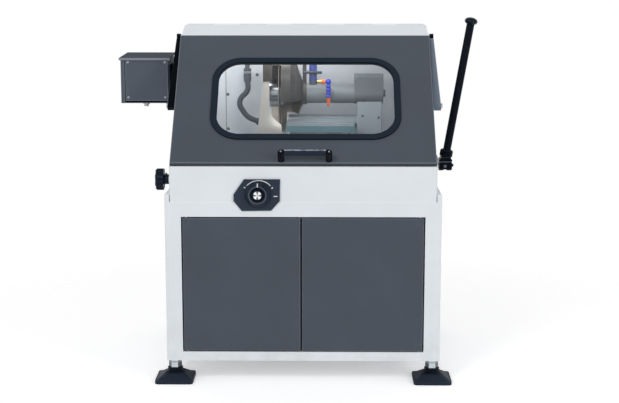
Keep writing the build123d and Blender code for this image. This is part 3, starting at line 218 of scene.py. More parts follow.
def powder_coat(name, colour, tone=0.04, roughness=0.42, peel=2.6 * MM, depth=0.06 * MM, specular=0.3,
                dust=0.0, splash=0.0, edge_highlight=None, patches=()):
    """Sprayed paint, with an optional painted highlight along edges and bends, given as its width, share and
    colour. A patch is a mask and its colour.
    """
    coat = Finish(name, Specular_IOR_Level=specular)
    cloud = coat.noise(CLOUD, 3.0)
    speck = coat.noise(SPECK, 1.0)
    shade = (cloud * 0.8 + speck * 0.2).ramp(0.35, 0.65)
    painted = coat.mix(shade, scaled(colour, 1 - tone), scaled(colour, 1 + tone))
    if dust:
        low_down = coat.z.ramp(DUST_TOP, DUST_FULL) * coat.noise(DUST_PATCH, 4.0).ramp(0.35, 0.75)
        painted = coat.mix(low_down * dust, painted, srgb(176, 172, 163))
    if splash:
        drops = coat.noise(DROP, 3.0).ramp(0.68, 0.76) * coat.noise(DROP_PATCH, 2.0).ramp(0.45, 0.6)
        painted = coat.mix(drops * splash, painted, srgb(128, 130, 130))
    # Lighter paint along edges and bends: a painted highlight.
    if edge_highlight:
        width, share, light = edge_highlight
        painted = coat.mix(coat.edges(width) * share, painted, light)
    for mask, colour_there in patches:
        painted = coat.mix(mask(coat), painted, colour_there)
    coat.set("Base Color", painted)
    coat.set("Roughness", roughness + 0.10 * (cloud - 0.5) + 0.06 * (speck - 0.5))
    coat.bump(coat.noise(peel, 2.0) + 0.4 * speck, depth)
    return coat.material


SANDY_PEEL = 1.6 * MM
sandy = {"tone": 0.05, "roughness": 0.5, "peel": SANDY_PEEL, "depth": 0.08 * MM, "specular": 0.22}
dark_grey = srgb(74, 81, 91)
# The dark panels' painted highlight along edges and bends.
dark_edge_highlight = (4.5 * MM, 0.5, srgb(152, 160, 170))
# The white paint also gets a painted highlight along its edges.
white_paint = powder_coat("white_paint", srgb(235, 240, 245), tone=0.02, dust=0.2,
                          edge_highlight=(1.2 * MM, 0.7, srgb(252, 253, 255)))
chamber_paint = powder_coat("chamber_paint", srgb(222, 227, 232), tone=0.03, roughness=0.35, splash=0.4)
grey_paint = powder_coat("grey_paint", dark_grey, edge_highlight=dark_edge_highlight, **sandy)
# The hood's hem: a painted highlight along its bend, and painted shade on the hem below.
HEM_LINE, HEM_HIGH = 703.5 * MM, 707.5 * MM
hem_highlight_and_shade = [(lambda coat: (coat.z > HEM_LINE) * (coat.z < HEM_HIGH) * 0.8, srgb(103, 110, 120)),
               (lambda coat: coat.z < HEM_LINE, srgb(58, 63, 70))]
hood_paint = powder_coat("hood_paint", dark_grey, edge_highlight=dark_edge_highlight, patches=hem_highlight_and_shade, **sandy)
box_paint = powder_coat("box_paint", srgb(88, 95, 106), tone=0.05, roughness=0.62, peel=SANDY_PEEL,
                        specular=0.12, edge_highlight=dark_edge_highlight)
# The lid's front lip is painted lighter: a painted highlight.
LID_LIP = 1.6 * MM
lid_front = box_of("electric_box_lid")[0].y
lid_lip_highlight = [(lambda coat: coat.y < lid_front + LID_LIP, srgb(136, 144, 156))]
lid_paint = powder_coat("lid_paint", srgb(62, 69, 80), tone=0.05, roughness=0.72, peel=SANDY_PEEL,
                        specular=0.08, patches=lid_lip_highlight)
print("powder coats:", white_paint.name, grey_paint.name, chamber_paint.name, lid_paint.name)

# %% [markdown]
# The spindle head wears several greys: a darker motor block, a lighter tube, a pale pedestal. The same coat
# in another colour serves for each. The bed that the pedestal carries is ground bare on top, like the table,
# and a patch by facing finds that top.

# %% Paints of the spindle head and the small fittings
LEVEL = 0.9
ground_top = [(lambda coat: coat.facing((0, 0, 1)) > LEVEL, srgb(160, 172, 180))]
block_paint = powder_coat("block_paint", srgb(112, 119, 125), tone=0.05, roughness=0.33)
tube_paint = powder_coat("tube_paint", srgb(128, 135, 139), tone=0.05, roughness=0.3)
pedestal_paint = powder_coat("pedestal_paint", srgb(168, 179, 187), tone=0.05, roughness=0.38,
                             patches=ground_top)
deflector_paint = powder_coat("deflector_paint", srgb(208, 205, 199), tone=0.05, roughness=0.3)
strut_grey = powder_coat("strut_grey", srgb(112, 124, 140), tone=0.03, roughness=0.38)
switch_plate = powder_coat("switch_plate", srgb(38, 48, 64), tone=0.06, roughness=0.4, peel=1.2 * MM,
                           specular=0.22)
print("head paints:", block_paint.name, tube_paint.name, pedestal_paint.name)

# %% [markdown]
# The wheel guard is dark painted sheet that has caught grit, and a brown film of dried coolant lies on it in
# patches. Low down, by its mouth, it is painted paler, painted light that lifts the shade inside the mouth.
# The wheel itself is grains of grit in resin, which cells of many sizes show better than a soft noise. The
# castings under the table have the rough skin of sand.


# %% Guard, abrasive and cast iron
MOUTH_HIGH, MOUTH_LOW = 860.0 * MM, 825.0 * MM
GRAINS_PER_METRE = 900.0


def guard_finish():
    coat = Finish("guard_paint", Specular_IOR_Level=0.4)
    film = coat.noise(60 * MM, 5.0).ramp(0.3, 0.75)
    grit = coat.noise(2 * MM, 3.0)
    painted = coat.mix(film, srgb(49, 48, 48), srgb(66, 61, 57))
    # Below the mouth's height the guard is painted paler: painted light in its shade.
    coat.set("Base Color", coat.mix(coat.z.ramp(MOUTH_HIGH, MOUTH_LOW), painted, srgb(166, 158, 149)))
    coat.set("Roughness", 0.4 + 0.2 * (grit - 0.5) + 0.12 * film)
    coat.bump(grit, 0.1 * MM)
    return coat.material


def abrasive_finish():
    stone = Finish("abrasive", Roughness=0.92, Specular_IOR_Level=0.2)
    cells = {"Vector": stone.place, "Scale": GRAINS_PER_METRE}
    grain = stone.wire.make("ShaderNodeTexVoronoi", inputs=cells, out="Distance")
    stone.set("Base Color", stone.mix(grain.ramp(0.0, 0.6), srgb(104, 97, 90), srgb(144, 135, 126)))
    stone.bump(grain, 0.4 * MM)
    return stone.material


def iron_finish():
    iron = Finish("machine_iron", Metallic=0.6)
    sand = iron.noise(3 * MM, 4.0)
    stain = iron.noise(50 * MM, 4.0).ramp(0.4, 0.7)
    iron.set("Base Color", iron.mix(stain, srgb(104, 108, 110), srgb(134, 137, 138)))
    iron.set("Roughness", 0.48 + 0.2 * (sand - 0.5))
    iron.bump(sand, 0.2 * MM)
    return iron.material


guard_paint = guard_finish()
abrasive = abrasive_finish()
machine_iron = iron_finish()
print("guard, abrasive and iron:", guard_paint.name, abrasive.name, machine_iron.name)

# %% [markdown]
# Bare steel shows how it was cut. A turned rod has rings round it, a ground table has fine lines along it.
# Drawing the noise out along one axis gives such lines without any picture.


# %% Steels
ALONG_X, ALONG_Y = (0.04, 1.0, 1.0), (1.0, 0.05, 1.0)
ROUND_X, ROUND_Z = (1.0, 0.06, 0.06), (0.3, 0.3, 1.0)


def steel_finish(name, colour, lines, roughness=0.28):
    """Bare metal with the marks of its cutting. Lines says how far they are drawn out along each axis."""
    steel = Finish(name, Metallic=1.0)
    cut = steel.noise(1.4 * MM, 3.0, stretch=lines)
    cloud = steel.noise(30 * MM, 3.0)
    steel.set("Base Color", steel.mix(cut, scaled(colour, 0.82), colour))
    steel.set("Roughness", roughness + 0.14 * (cut - 0.5) + 0.12 * (cloud - 0.5))
    steel.bump(cut, 0.05 * MM)
    return steel.material


def plated_finish(name, shaded, bright):
    """Plating with a painted reflection: bright on the flats to front and back, dull on those turned aside.
    """
    plate = Finish(name, Metallic=0.9)
    cut = plate.noise(1.4 * MM, 3.0, stretch=ROUND_Z)
    # Painted reflection: flats that face front or back are bright, those turned aside are dark.
    painted_reflection = plate.wire.math("ABSOLUTE", plate.facing((0, 1, 0))).ramp(0.5, 0.97)
    plate.set("Base Color", plate.mix(painted_reflection * (0.75 + 0.5 * (cut - 0.5)), shaded, bright))
    plate.set("Roughness", 0.2 + 0.14 * (cut - 0.5))
    plate.bump(cut, 0.05 * MM)
    return plate.material


def fitting_finish():
    """Dull screws on the box, and a pale gland below it."""
    fitting = Finish("fitting_steel", Metallic=0.5)
    skin = fitting.noise(1 * MM, 3.0)
    below = fitting.z < box_of("electric_box")[0].z
    fitting.set("Base Color", fitting.mix(below, srgb(150, 157, 164), srgb(206, 206, 200)))
    fitting.set("Roughness", 0.4 + 0.1 * (skin - 0.5))
    fitting.bump(skin, 0.03 * MM)
    return fitting.material


bare_steel = steel_finish("bare_steel", srgb(196, 200, 203), ALONG_Y)
turned_steel = steel_finish("turned_steel", srgb(176, 180, 184), ROUND_X, roughness=0.24)
flange_steel = steel_finish("flange_steel", srgb(150, 155, 160), ROUND_X, roughness=0.2)
zinc_steel = steel_finish("zinc_steel", srgb(186, 196, 198), ROUND_Z, roughness=0.25)
foot_zinc = plated_finish("foot_zinc", srgb(84, 92, 97), srgb(214, 224, 230))
fitting_steel = fitting_finish()
print("steels:", bare_steel.name, turned_steel.name, flange_steel.name, zinc_steel.name)

# %% [markdown]
# The slotted table is ground steel that coolant has stained, with its front face painted blue-green. Two
# materials would need the piece to be cut in two, so one material asks where it is: within a millimetre of
# the front, it is paint.


# %% The table
PAINT_SKIN = 1.0 * MM
table_low, table_high = box_of("cutting_table")


def table_finish():
    table = Finish("table_steel")
    front = table.y < table_low.y + PAINT_SKIN
    ground = table.noise(1.6 * MM, 3.0, stretch=ALONG_X)
    stain = table.noise(45 * MM, 4.0).ramp(0.35, 0.75)
    top = table.mix(ground * 0.5 + stain * 0.5, srgb(148, 162, 171), srgb(188, 199, 207))
    table.set("Base Color", table.mix(front, top, srgb(97, 138, 147)))
    table.set("Metallic", 0.4 * (1 - front))
    table.set("Roughness", 0.32 + 0.2 * (ground - 0.5) + 0.1 * front)
    table.bump(ground, 0.06 * MM)
    return table.material


table_steel = table_finish()
print("table top at", round(table_high.z, 4), "m")

# %% [markdown]
# Black on this machine is many things: soft rubber under the feet, moulded plastic on the knobs, lacquer on
# the lever, the handle and a strut, the hose. They differ in gloss and grain more than in tone. The handle's
# bar is slate between two black ends, with a painted highlight along its top. A pad is painted lighter low
# down and darker round its collar, painted light and shade. The left strut's cylinder is black where the
# right one is grey, a painted shade.


# %% Blacks
BLUE_TINT = (0.5, 0.7, 1.0, 1.0)
HIGHLIGHT_EDGE_WIDTH = 1.2 * MM


def black_finish(name, colour, roughness, grain, depth, specular=0.25, edge=0.0, marks=()):
    """A black moulding or lacquer. Marks are places that take another tone, as pairs of mask and colour."""
    black = Finish(name, Specular_Tint=BLUE_TINT, Specular_IOR_Level=specular)
    skin = black.noise(grain, 3.0)
    wear = black.noise(30 * MM, 4.0).ramp(0.55, 0.8)
    worn = (*(part * 1.5 + 0.003 for part in colour[:3]), 1.0)
    dark = black.mix(wear * 0.6, colour, worn)
    # An edge share paints a lighter line along edges: a painted highlight.
    if edge:
        dark = black.mix(black.edges(HIGHLIGHT_EDGE_WIDTH) * edge, dark, srgb(128, 136, 148))
    for mask, colour_there in marks:
        dark = black.mix(mask(black), dark, colour_there)
    black.set("Base Color", dark)
    black.set("Roughness", roughness + 0.12 * (skin - 0.5) + 0.08 * wear)
    black.bump(skin, depth)
    return black.material


HANDLE_END = 20.0 * MM
HIGHLIGHT_WAY = (0.0, -0.485, 0.875)
handle_low, handle_high = box_of("hood_handle")
handle_x = (handle_low.x + handle_high.x) / 2
handle_reach = (handle_high.x - handle_low.x) / 2 - HANDLE_END


def bar_share(black):
    """1 on the handle's bar, 0 on its two ends."""
    return black.wire.math("ABSOLUTE", black.x - handle_x) < handle_reach


def bar_highlight(black):
    """A painted highlight along the top of the bar, patchy with noise."""
    lit_top = black.facing(HIGHLIGHT_WAY).ramp(0.92, 0.985)
    return bar_share(black) * lit_top * black.noise(20 * MM, 4.0).ramp(0.25, 0.6)


# The second mark is a painted highlight along the bar's top.
handle_marks = [(bar_share, srgb(38, 45, 57)), (bar_highlight, srgb(160, 170, 182))]
# A pad is painted lighter low down and darker round its collar: painted light and shade.
PAD_FACE, PAD_COLLAR = 25.0 * MM, 30.0 * MM
pad_light_and_shade = [(lambda black: black.z.ramp(PAD_FACE, PAD_COLLAR), srgb(12, 16, 22))]
pad_rubber = black_finish("pad_rubber", srgb(36, 44, 56), 0.5, 2 * MM, 0.1 * MM, specular=0.15,
                          marks=pad_light_and_shade)
hose_rubber = black_finish("hose_rubber", srgb(80, 87, 93), 0.55, 1.2 * MM, 0.1 * MM)
knob_plastic = black_finish("knob_plastic", srgb(24, 30, 39), 0.32, 1.2 * MM, 0.05 * MM, specular=0.12)
gloss_black = black_finish("gloss_black", srgb(4, 6, 10), 0.14, 1.2 * MM, 0.01 * MM, specular=0.1,
                           marks=handle_marks)
lever_black = black_finish("lever_black", srgb(14, 17, 23), 0.34, 3 * MM, 0.03 * MM, specular=0.08)
# The hub's edges carry a painted highlight.
hub_black = black_finish("hub_black", srgb(7, 9, 14), 0.3, 2 * MM, 0.02 * MM, specular=0.08, edge=0.5)
strut_black = black_finish("strut_black", srgb(7, 9, 12), 0.4, 3 * MM, 0.03 * MM, specular=0.06)
tank_plastic = black_finish("tank_plastic", srgb(84, 88, 92), 0.4, 2 * MM, 0.08 * MM)
print("blacks:", pad_rubber.name, knob_plastic.name, gloss_black.name, lever_black.name)

# %% [markdown]
# The lever's ball is polished, and on polish every facet of a solid shows. Its true form is an ellipsoid
# about the lever's axis, so its normal can be worked out exactly: the way from the middle, pushed out along
# the axis. That gives the lamps a smooth surface to shine on.

# %% The lever's ball
BALL_RADIUS, BALL_HALF_HEIGHT = 21.5 * MM, 13.0 * MM


def ball_finish():
    ball = Finish("ball_black", Specular_Tint=BLUE_TINT, Specular_IOR_Level=0.25)
    low, high = box_of("lever_knob")
    rod_low, rod_high = box_of("lever_rod")
    centre = (low + high) / 2
    axis = (centre - (rod_low + rod_high) / 2).normalized()
    away = ball.vector("SUBTRACT", ball.place, centre)
    flatness = (BALL_RADIUS / BALL_HALF_HEIGHT) ** 2 - 1
    push = ball.vector("DOT_PRODUCT", away, axis, out="Value") * flatness
    pushed = ball.wire.make("ShaderNodeVectorMath", {"operation": "SCALE"}, {0: axis, "Scale": push})
    smooth = ball.vector("NORMALIZE", ball.vector("ADD", away, pushed), (0, 0, 0))
    turn = {"vector_type": "NORMAL", "convert_from": "OBJECT", "convert_to": "WORLD"}
    skin = ball.noise(4 * MM, 3.0)
    ball.set("Base Color", ball.mix(skin, srgb(4, 6, 10), srgb(8, 11, 16)))
    ball.set("Roughness", 0.09 + 0.06 * (skin - 0.5))
    ball.bump(skin, 0.004 * MM, ball.wire.make("ShaderNodeVectorTransform", turn, {"Vector": smooth}))
    return ball.material


ball_black = ball_finish()
print("ball", round(2 * BALL_RADIUS, 3), "m across")

# %% [markdown]
# The window is held by a rubber profile. Its broad face, turned to the light, is painted a lighter
# blue-black, and the lip that presses on the glass is painted darker, as shade. The lip faces inward, so the
# colour follows the way that the surface faces: painted light and shade. The pane is clear apart from a
# faint smear, which raises its alpha a little.


# %% The window seal and the window
def seal_finish(leaning):
    seal = Finish("black_rubber", Specular_Tint=BLUE_TINT, Specular_IOR_Level=0.22)
    # Painted light and shade: the face toward the light is lighter, the inward lip darker.
    face = seal.facing(leaning).ramp(0.35, 0.9)
    skin = seal.noise(1.5 * MM, 3.0)
    seal.set("Base Color", seal.mix(face, srgb(8, 9, 11), srgb(22, 31, 41)))
    seal.set("Roughness", 0.55 + 0.15 * (skin - 0.5))
    seal.bump(skin, 0.06 * MM)
    return seal.material


def pane_finish():
    pane = Finish("clear_pane", Roughness=0.05, Specular_IOR_Level=0.5)
    smear = pane.noise(90 * MM, 5.0).ramp(0.45, 0.8)
    pane.set("Base Color", pane.mix(smear, srgb(150, 160, 164), srgb(190, 196, 200)))
    pane.set("Alpha", 0.04 + 0.05 * smear)
    return pane.material


pane_low, pane_high = box_of("window_pane")
lean = math.atan2(pane_high.z - pane_low.z, pane_high.y - pane_low.y)
black_rubber = seal_finish((0.0, -math.sin(lean), math.cos(lean)))
clear_pane = pane_finish()
print("window leans at", round(math.degrees(lean), 1), "degrees")

# %% [markdown]
# The small bright pieces are a jointed coolant hose in blue and orange plastic, and a brass elbow on a blue
# and dark valve. Where one solid wears two finishes, a mask by place tells them apart, which is simpler than
# cutting the solid.


# %% Coloured plastics and the valve
def gloss_plastic(name, colour):
    plastic = Finish(name, Coat_Weight=0.25, Coat_Roughness=0.1)
    swirl = plastic.noise(12 * MM, 3.0)
    plastic.set("Base Color", plastic.mix(swirl, scaled(colour, 0.82), colour))
    plastic.set("Roughness", 0.3 + 0.12 * (swirl - 0.5))
    plastic.bump(plastic.noise(1 * MM, 2.0), 0.03 * MM)
    return plastic.material


ELBOW_START = 30.0 * MM
BAND_LOW, BAND_HIGH, CROWN_LOW = 14.0 * MM, 30.0 * MM, 45.0 * MM


def valve_finish():
    valve = Finish("valve_finish")
    low = box_of("coolant_valve")[0]
    elbow = valve.x > low.x + ELBOW_START
    band = (valve.z > low.z + BAND_LOW) * (valve.z < low.z + BAND_HIGH)
    blue_share = (valve.z > low.z + CROWN_LOW) + band
    tarnish = valve.noise(8 * MM, 4.0)
    brass = valve.mix(tarnish, srgb(196, 160, 92), srgb(222, 192, 128))
    dark = valve.mix(tarnish, srgb(58, 64, 78), srgb(80, 86, 98))
    body = valve.mix(blue_share * 0.75, dark, srgb(52, 68, 150))
    valve.set("Base Color", valve.mix(elbow, body, brass))
    valve.set("Metallic", elbow)
    valve.set("Roughness", 0.34 + 0.14 * (tarnish - 0.5))
    valve.bump(tarnish, 0.06 * MM)
    return valve.material


blue_plastic = gloss_plastic("blue_plastic", srgb(44, 66, 196))
orange_plastic = gloss_plastic("orange_plastic", srgb(248, 112, 52))
mark_white = gloss_plastic("mark_white", srgb(236, 239, 242))
valve_paint = valve_finish()
valve_dark = black_finish("valve_dark", srgb(62, 66, 74), 0.36, 2 * MM, 0.05 * MM)
print("coloured pieces:", blue_plastic.name, orange_plastic.name, valve_paint.name)

# %% [markdown]
# The rotary switch has a knob of dark plastic: a rim that hands have worn, painted lighter also as a
# highlight, a recess painted darker as shade, and a metal cap in the middle. The distance from the middle
# tells the three apart. The cap carries a painted reflection: four bright fields with a dark cross between
# them, so its tone follows the angle round the middle.

# %% The switch knob
CAP_DEPTH, CAP_RADIUS = 3.2 * MM, 12.8 * MM
RIM_INNER, RIM_OUTER = 23.5 * MM, 28.4 * MM
knob_low, knob_high = box_of("dial_knob")
dial_x = (knob_low.x + knob_high.x) / 2
dial_z = (knob_low.z + knob_high.z) / 2


def switch_finish():
    switch = Finish("switch_knob_finish", Specular_Tint=BLUE_TINT, Specular_IOR_Level=0.12)
    right, up = switch.x - dial_x, switch.z - dial_z
    out = switch.wire.math("SQRT", right * right + up * up)
    cap = (switch.y < knob_low.y + CAP_DEPTH) * (out < CAP_RADIUS)
    rim_highlight = (out > RIM_INNER) * (out < RIM_OUTER)
    round_angle = switch.wire.math("ARCTAN2", up, right)
    # Painted reflection on the cap: four bright fields round the middle.
    cap_reflection = switch.wire.math("ABSOLUTE", switch.wire.math("SINE", 2 * round_angle))
    skin = switch.noise(1.1 * MM, 3.0)
    metal = switch.mix(cap_reflection.ramp(0.3, 0.8), srgb(96, 100, 106), srgb(244, 246, 248))
    # The recess is painted darker: painted shade.
    black = switch.mix(out < RIM_INNER, srgb(34, 41, 53), srgb(14, 19, 28))
    # The rim is painted lighter: wear and a painted highlight.
    black = switch.mix(rim_highlight * (0.5 + 0.6 * (skin - 0.5)), black, srgb(104, 116, 132))
    switch.set("Base Color", switch.mix(cap, black, metal))
    switch.set("Metallic", 0.7 * cap)
    switch.set("Roughness", 0.16 + 0.1 * (skin - 0.5) + 0.2 * cap)
    switch.bump(skin, 0.04 * MM)
    return switch.material


switch_black = switch_finish()
print("switch knob round", round(dial_x, 3), round(dial_z, 3))

# %% [markdown]
# Each solid now gets its finish. The table names the pieces by finish, and the count shows whether one was
# forgotten.

# %% Give every piece its finish
wardrobe = {
    white_paint: ["cabinet_side_left", "cabinet_side_right", "cabinet_front_frame", "cabinet_back_panel",
                  "cabinet_floor", "basin", "drain_pipe", "hood_top_panel"],
    chamber_paint: ["chamber_side_left", "chamber_side_right", "chamber_rear_cover"],
    grey_paint: ["door_left", "door_right"],
    hood_paint: ["hood_front_panel"],
    box_paint: ["electric_box", "electric_box_cover"],
    lid_paint: ["electric_box_lid"],
    block_paint: ["spindle_motor", "coolant_pump"],
    tube_paint: ["spindle_tube"],
    pedestal_paint: ["head_pedestal"],
    deflector_paint: ["spark_deflector"],
    guard_paint: ["wheel_guard"],
    abrasive: ["abrasive_wheel"],
    machine_iron: ["pinion_housing", "table_carriage", "cross_slide"],
    bare_steel: ["cross_rails", "guide_rods"],
    turned_steel: ["pinion_shaft", "feed_screw", "spindle", "spindle_bearings"],
    flange_steel: ["wheel_flange"],
    zinc_steel: ["hinge_pins", "strut_lower_brackets"],
    foot_zinc: ["foot_studs"],
    fitting_steel: ["electric_box_fittings"],
    table_steel: ["cutting_table"],
    black_rubber: ["window_seal"],
    pad_rubber: ["foot_pads"],
    hose_rubber: ["supply_hose"],
    knob_plastic: ["hand_knob"],
    gloss_black: ["hood_handle"],
    ball_black: ["lever_knob"],
    lever_black: ["lever_rod", "electric_box_bracket"],
    hub_black: ["lever_hub"],
    # The left strut's cylinder is black where the right one is grey: a painted shade.
    strut_black: ["strut_left_cylinder", "strut_left_rod", "strut_right_rod"],
    strut_grey: ["strut_right_cylinder"],
    blue_plastic: ["coolant_hose"],
    orange_plastic: ["coolant_nozzle"],
    valve_paint: ["coolant_valve"],
    valve_dark: ["valve_handle"],
    switch_plate: ["dial_plate"],
    switch_black: ["dial_knob"],
    tank_plastic: ["coolant_tank"],
    clear_pane: ["window_pane"],
}
dressed = set()
for finish, names in wardrobe.items():
    for name in names:
        for slot in nodes[name].material_slots:
            slot.material = finish
        dressed.add(name)
print("dressed:", len(dressed), "left over:", sorted(set(nodes) - dressed))

# %% [markdown]
# The trim is drawn as meshes in code. One helper makes a mesh from a function that fills it, gives it its
# finish, and says which body it moves with. Flat things start as an outline that is thickened, round things
# as rings.


# %% Helpers that draw
def mesh_piece(name, build, finish, body):
    """Makes a mesh object from a function that fills a bmesh, with its finish, body and material slot."""
    mesh = bpy.data.meshes.new(name)
    shape = bmesh.new()
    build(shape)
    bmesh.ops.recalc_face_normals(shape, faces=shape.faces)
    shape.to_mesh(mesh)
    shape.free()
    piece = bpy.data.objects.new(name, mesh)
    bpy.context.collection.objects.link(piece)
    mesh.materials.append(finish)
    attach(piece, body)
    return piece


def slab(shape, outline, back, front):
    """A flat outline in X and Z, given as points, thickened from back to front along Y."""
    rear = [shape.verts.new((x, back, z)) for x, z in outline]
    grown = bmesh.ops.extrude_face_region(shape, geom=[shape.faces.new(rear)])
    moved = [item for item in grown["geom"] if isinstance(item, bmesh.types.BMVert)]
    bmesh.ops.translate(shape, vec=(0, front - back, 0), verts=moved)


def ring_band(centre, inner, outer, start, end, steps):
    """The outline of a band of a ring, in degrees counted from straight up, clockwise."""
    outline = []
    for radius, order in ((outer, range(steps + 1)), (inner, reversed(range(steps + 1)))):
        for step in order:
            angle = math.radians(start + (end - start) * step / steps)
            outline.append((centre[0] + radius * math.sin(angle), centre[1] + radius * math.cos(angle)))
    return outline


def bridge(shape, rings):
    """Faces between rings of points, one ring after the other."""
    for low, high in zip(rings, rings[1:]):
        for step in range(len(low)):
            after = (step + 1) % len(low)
            shape.faces.new((low[step], low[after], high[after], high[step]))


def turned(shape, place, facing, profile, steps=32, stretch=1.0):
    """A closed profile of (radius, rise) points turned about an axis, drawn out sideways by stretch."""
    turn = Vector((0, 0, 1)).rotation_difference(Vector(facing)).to_matrix()
    rings = []
    for radius, rise in profile:
        ring = []
        for step in range(steps):
            angle = 2 * math.pi * step / steps
            point = Vector((stretch * radius * math.cos(angle), radius * math.sin(angle), rise))
            ring.append(shape.verts.new(Vector(place) + turn @ point))
        rings.append(ring)
    bridge(shape, rings + rings[:1])


print("drawing helpers ready")

# %% [markdown]
# The switch plate carries a printed scale: an arc with a tick past each end, and a dash at its right. A
# print is a skin of ink, so each mark is a very thin raised mesh.

# %% The printed scale
INK = 0.25 * MM
LINE = 2.6 * MM
ARC_STEPS, TICK_STEPS = 24, 2
ARC_SHIFT, ARC_DROP, ARC_RADIUS, ARC_SPREAD = 3.0 * MM, 5.8 * MM, 49.0 * MM, 48.0
TICKS, TICK_LONG, TICK_HALF = [(-62.0, 42.5 * MM), (66.0, 46.5 * MM)], 5.5 * MM, 1.8
DASH_OUT, DASH_LONG, DASH_DROP = 48.8 * MM, 12.2 * MM, 7.5 * MM
plate_face = box_of("dial_plate")[0].y


def draw_scale(shape):
    centre = (dial_x + ARC_SHIFT, dial_z - ARC_DROP)
    arc_inner, arc_outer = ARC_RADIUS - LINE / 2, ARC_RADIUS + LINE / 2
    marks = [ring_band(centre, arc_inner, arc_outer, -ARC_SPREAD, ARC_SPREAD, ARC_STEPS)]
    for turn, inner in TICKS:
        start, end = turn - TICK_HALF, turn + TICK_HALF
        marks.append(ring_band((dial_x, dial_z), inner, inner + TICK_LONG, start, end, TICK_STEPS))
    left, low = dial_x + DASH_OUT, dial_z - DASH_DROP
    marks.append([(left, low), (left + DASH_LONG, low), (left + DASH_LONG, low + LINE), (left, low + LINE)])
    for mark in marks:
        slab(shape, mark, plate_face, plate_face - INK)


mesh_piece("switch_scale", draw_scale, mark_white, "base")
print("switch scale: an arc,", len(TICKS), "ticks and a dash")

# %% [markdown]
# The pointer lies on the knob's cone and turns with it. It starts a little above the shoulder and runs over
# the cone's top to the edge of the recess, so it is a thin ribbon through three points of the knob's own
# section.

# %% The knob's pointer
POINTER = [(35.6 * MM, 11.9 * MM), (28.0 * MM, 22.0 * MM), (25.2 * MM, 22.0 * MM)]
POINTER_WIDTH = 2.8 * MM
KNOB_GAP = 0.3 * MM


def draw_pointer(shape):
    rows = []
    for radius, height in POINTER:
        base = plate_face - KNOB_GAP - height
        row = []
        for side, lift in ((-1, 0.0), (-1, INK), (1, INK), (1, 0.0)):
            x, z = dial_x + side * POINTER_WIDTH / 2, dial_z + radius + lift
            row.append(shape.verts.new((x, base - lift, z)))
        rows.append(row)
    bridge(shape, rows)
    for row in (rows[0], rows[-1]):
        shape.faces.new(row)


pointer = mesh_piece("switch_pointer", draw_pointer, mark_white, "switch_knob")
print("pointer:", len(pointer.data.polygons), "faces")

# %% [markdown]
# Screws hold every sheet panel. A button head with a hexagon socket is a stack of rings: round ones for the
# head, then hexagonal ones sinking into it. One function draws a screw at any place, facing any way, and
# the rest is placing them.

# %% A button-head screw
RING = 24
SCREW_PROFILE = [(1.0, 0.0, False), (1.0, 0.35, False), (0.82, 0.85, False), (0.62, 1.0, False),
                 (0.48, 1.0, True), (0.48, 0.35, True)]


def hexagon(flat_radius, angle):
    """Distance from the middle of a hexagon to its side, in the direction of an angle."""
    return flat_radius / math.cos((angle % (math.pi / 3)) - math.pi / 6)


def add_screw(shape, place, facing, radius, height):
    """A domed head of rings, with a hexagon socket sunk into it. The profile holds shares of both sizes."""
    turn = Vector((0, 0, 1)).rotation_difference(Vector(facing)).to_matrix()
    rings = []
    for share, rise, is_socket in SCREW_PROFILE:
        ring = []
        for step in range(RING):
            angle = 2 * math.pi * step / RING
            reach = hexagon(radius * share, angle) if is_socket else radius * share
            point = Vector((reach * math.cos(angle), reach * math.sin(angle), height * rise))
            ring.append(shape.verts.new(Vector(place) + turn @ point))
        rings.append(ring)
    bridge(shape, rings)
    shape.faces.new(rings[-1])
    shape.faces.new(list(reversed(rings[0])))


def spread(low, high, count):
    """count places from low to high, ends included."""
    return [low + (high - low) * step / (count - 1) for step in range(count)]


NO_LINES = (0.4, 0.4, 0.4)
screw_steel = steel_finish("screw_steel", srgb(170, 176, 180), NO_LINES, roughness=0.3)
screw_dark = black_finish("screw_dark", srgb(118, 122, 128), 0.38, 1 * MM, 0.02 * MM)
print("a screw has", len(SCREW_PROFILE) * RING, "points")

# %% [markdown]
# Inside the chamber the rear wall is two sheets lapped on a vertical seam, sealed with a grey bead that is
# also a painted shadow of the lap, and bolted beside it, and a white oval grommet lines a hole in it. Most
# of this shows in the window, so it is drawn on the wall's face.

# %% Rear-wall seam, bolts and grommet
cover_low, cover_high = box_of("chamber_rear_cover")
SHEET = 2.0 * MM
inner_wall = cover_high.y - SHEET
SEAM_X, SEAM_WIDTH, SEAM_LAP, BEAD = -285.0 * MM, 26.0 * MM, 1.4 * MM, 3.0 * MM
SEAM_FOOT, SEAM_HEAD = 4.0 * MM, 24.0 * MM
BOLT_PLACES = [(-277.0 * MM, 863.0 * MM), (-277.0 * MM, 740.0 * MM), (-173.0 * MM, 932.0 * MM)]
WALL_BOLT, WALL_BOLT_RISE = 5.5 * MM, 3.5 * MM
GROMMET_PLACE, GROMMET_STRETCH = (0.0, inner_wall, 959.0 * MM), 1.5
GROMMET_PROFILE = [(6.0 * MM, 0.0), (12.0 * MM, 0.0), (12.0 * MM, 2.5 * MM), (10.5 * MM, 4.5 * MM),
                   (7.5 * MM, 4.5 * MM), (6.0 * MM, 2.5 * MM)]
TO_FRONT = (0, -1, 0)


def upright_strip(shape, left, right, proud):
    low, high = cover_low.z + SEAM_FOOT, cover_high.z - SEAM_HEAD
    slab(shape, [(left, low), (right, low), (right, high), (left, high)], inner_wall, inner_wall - proud)


def draw_seam(shape):
    upright_strip(shape, SEAM_X - SEAM_WIDTH, SEAM_X, SEAM_LAP)


def draw_shadow_bead(shape):
    upright_strip(shape, SEAM_X, SEAM_X + BEAD, SEAM_LAP / 2)


def draw_wall_bolts(shape):
    for x, z in BOLT_PLACES:
        add_screw(shape, (x, inner_wall, z), TO_FRONT, WALL_BOLT, WALL_BOLT_RISE)


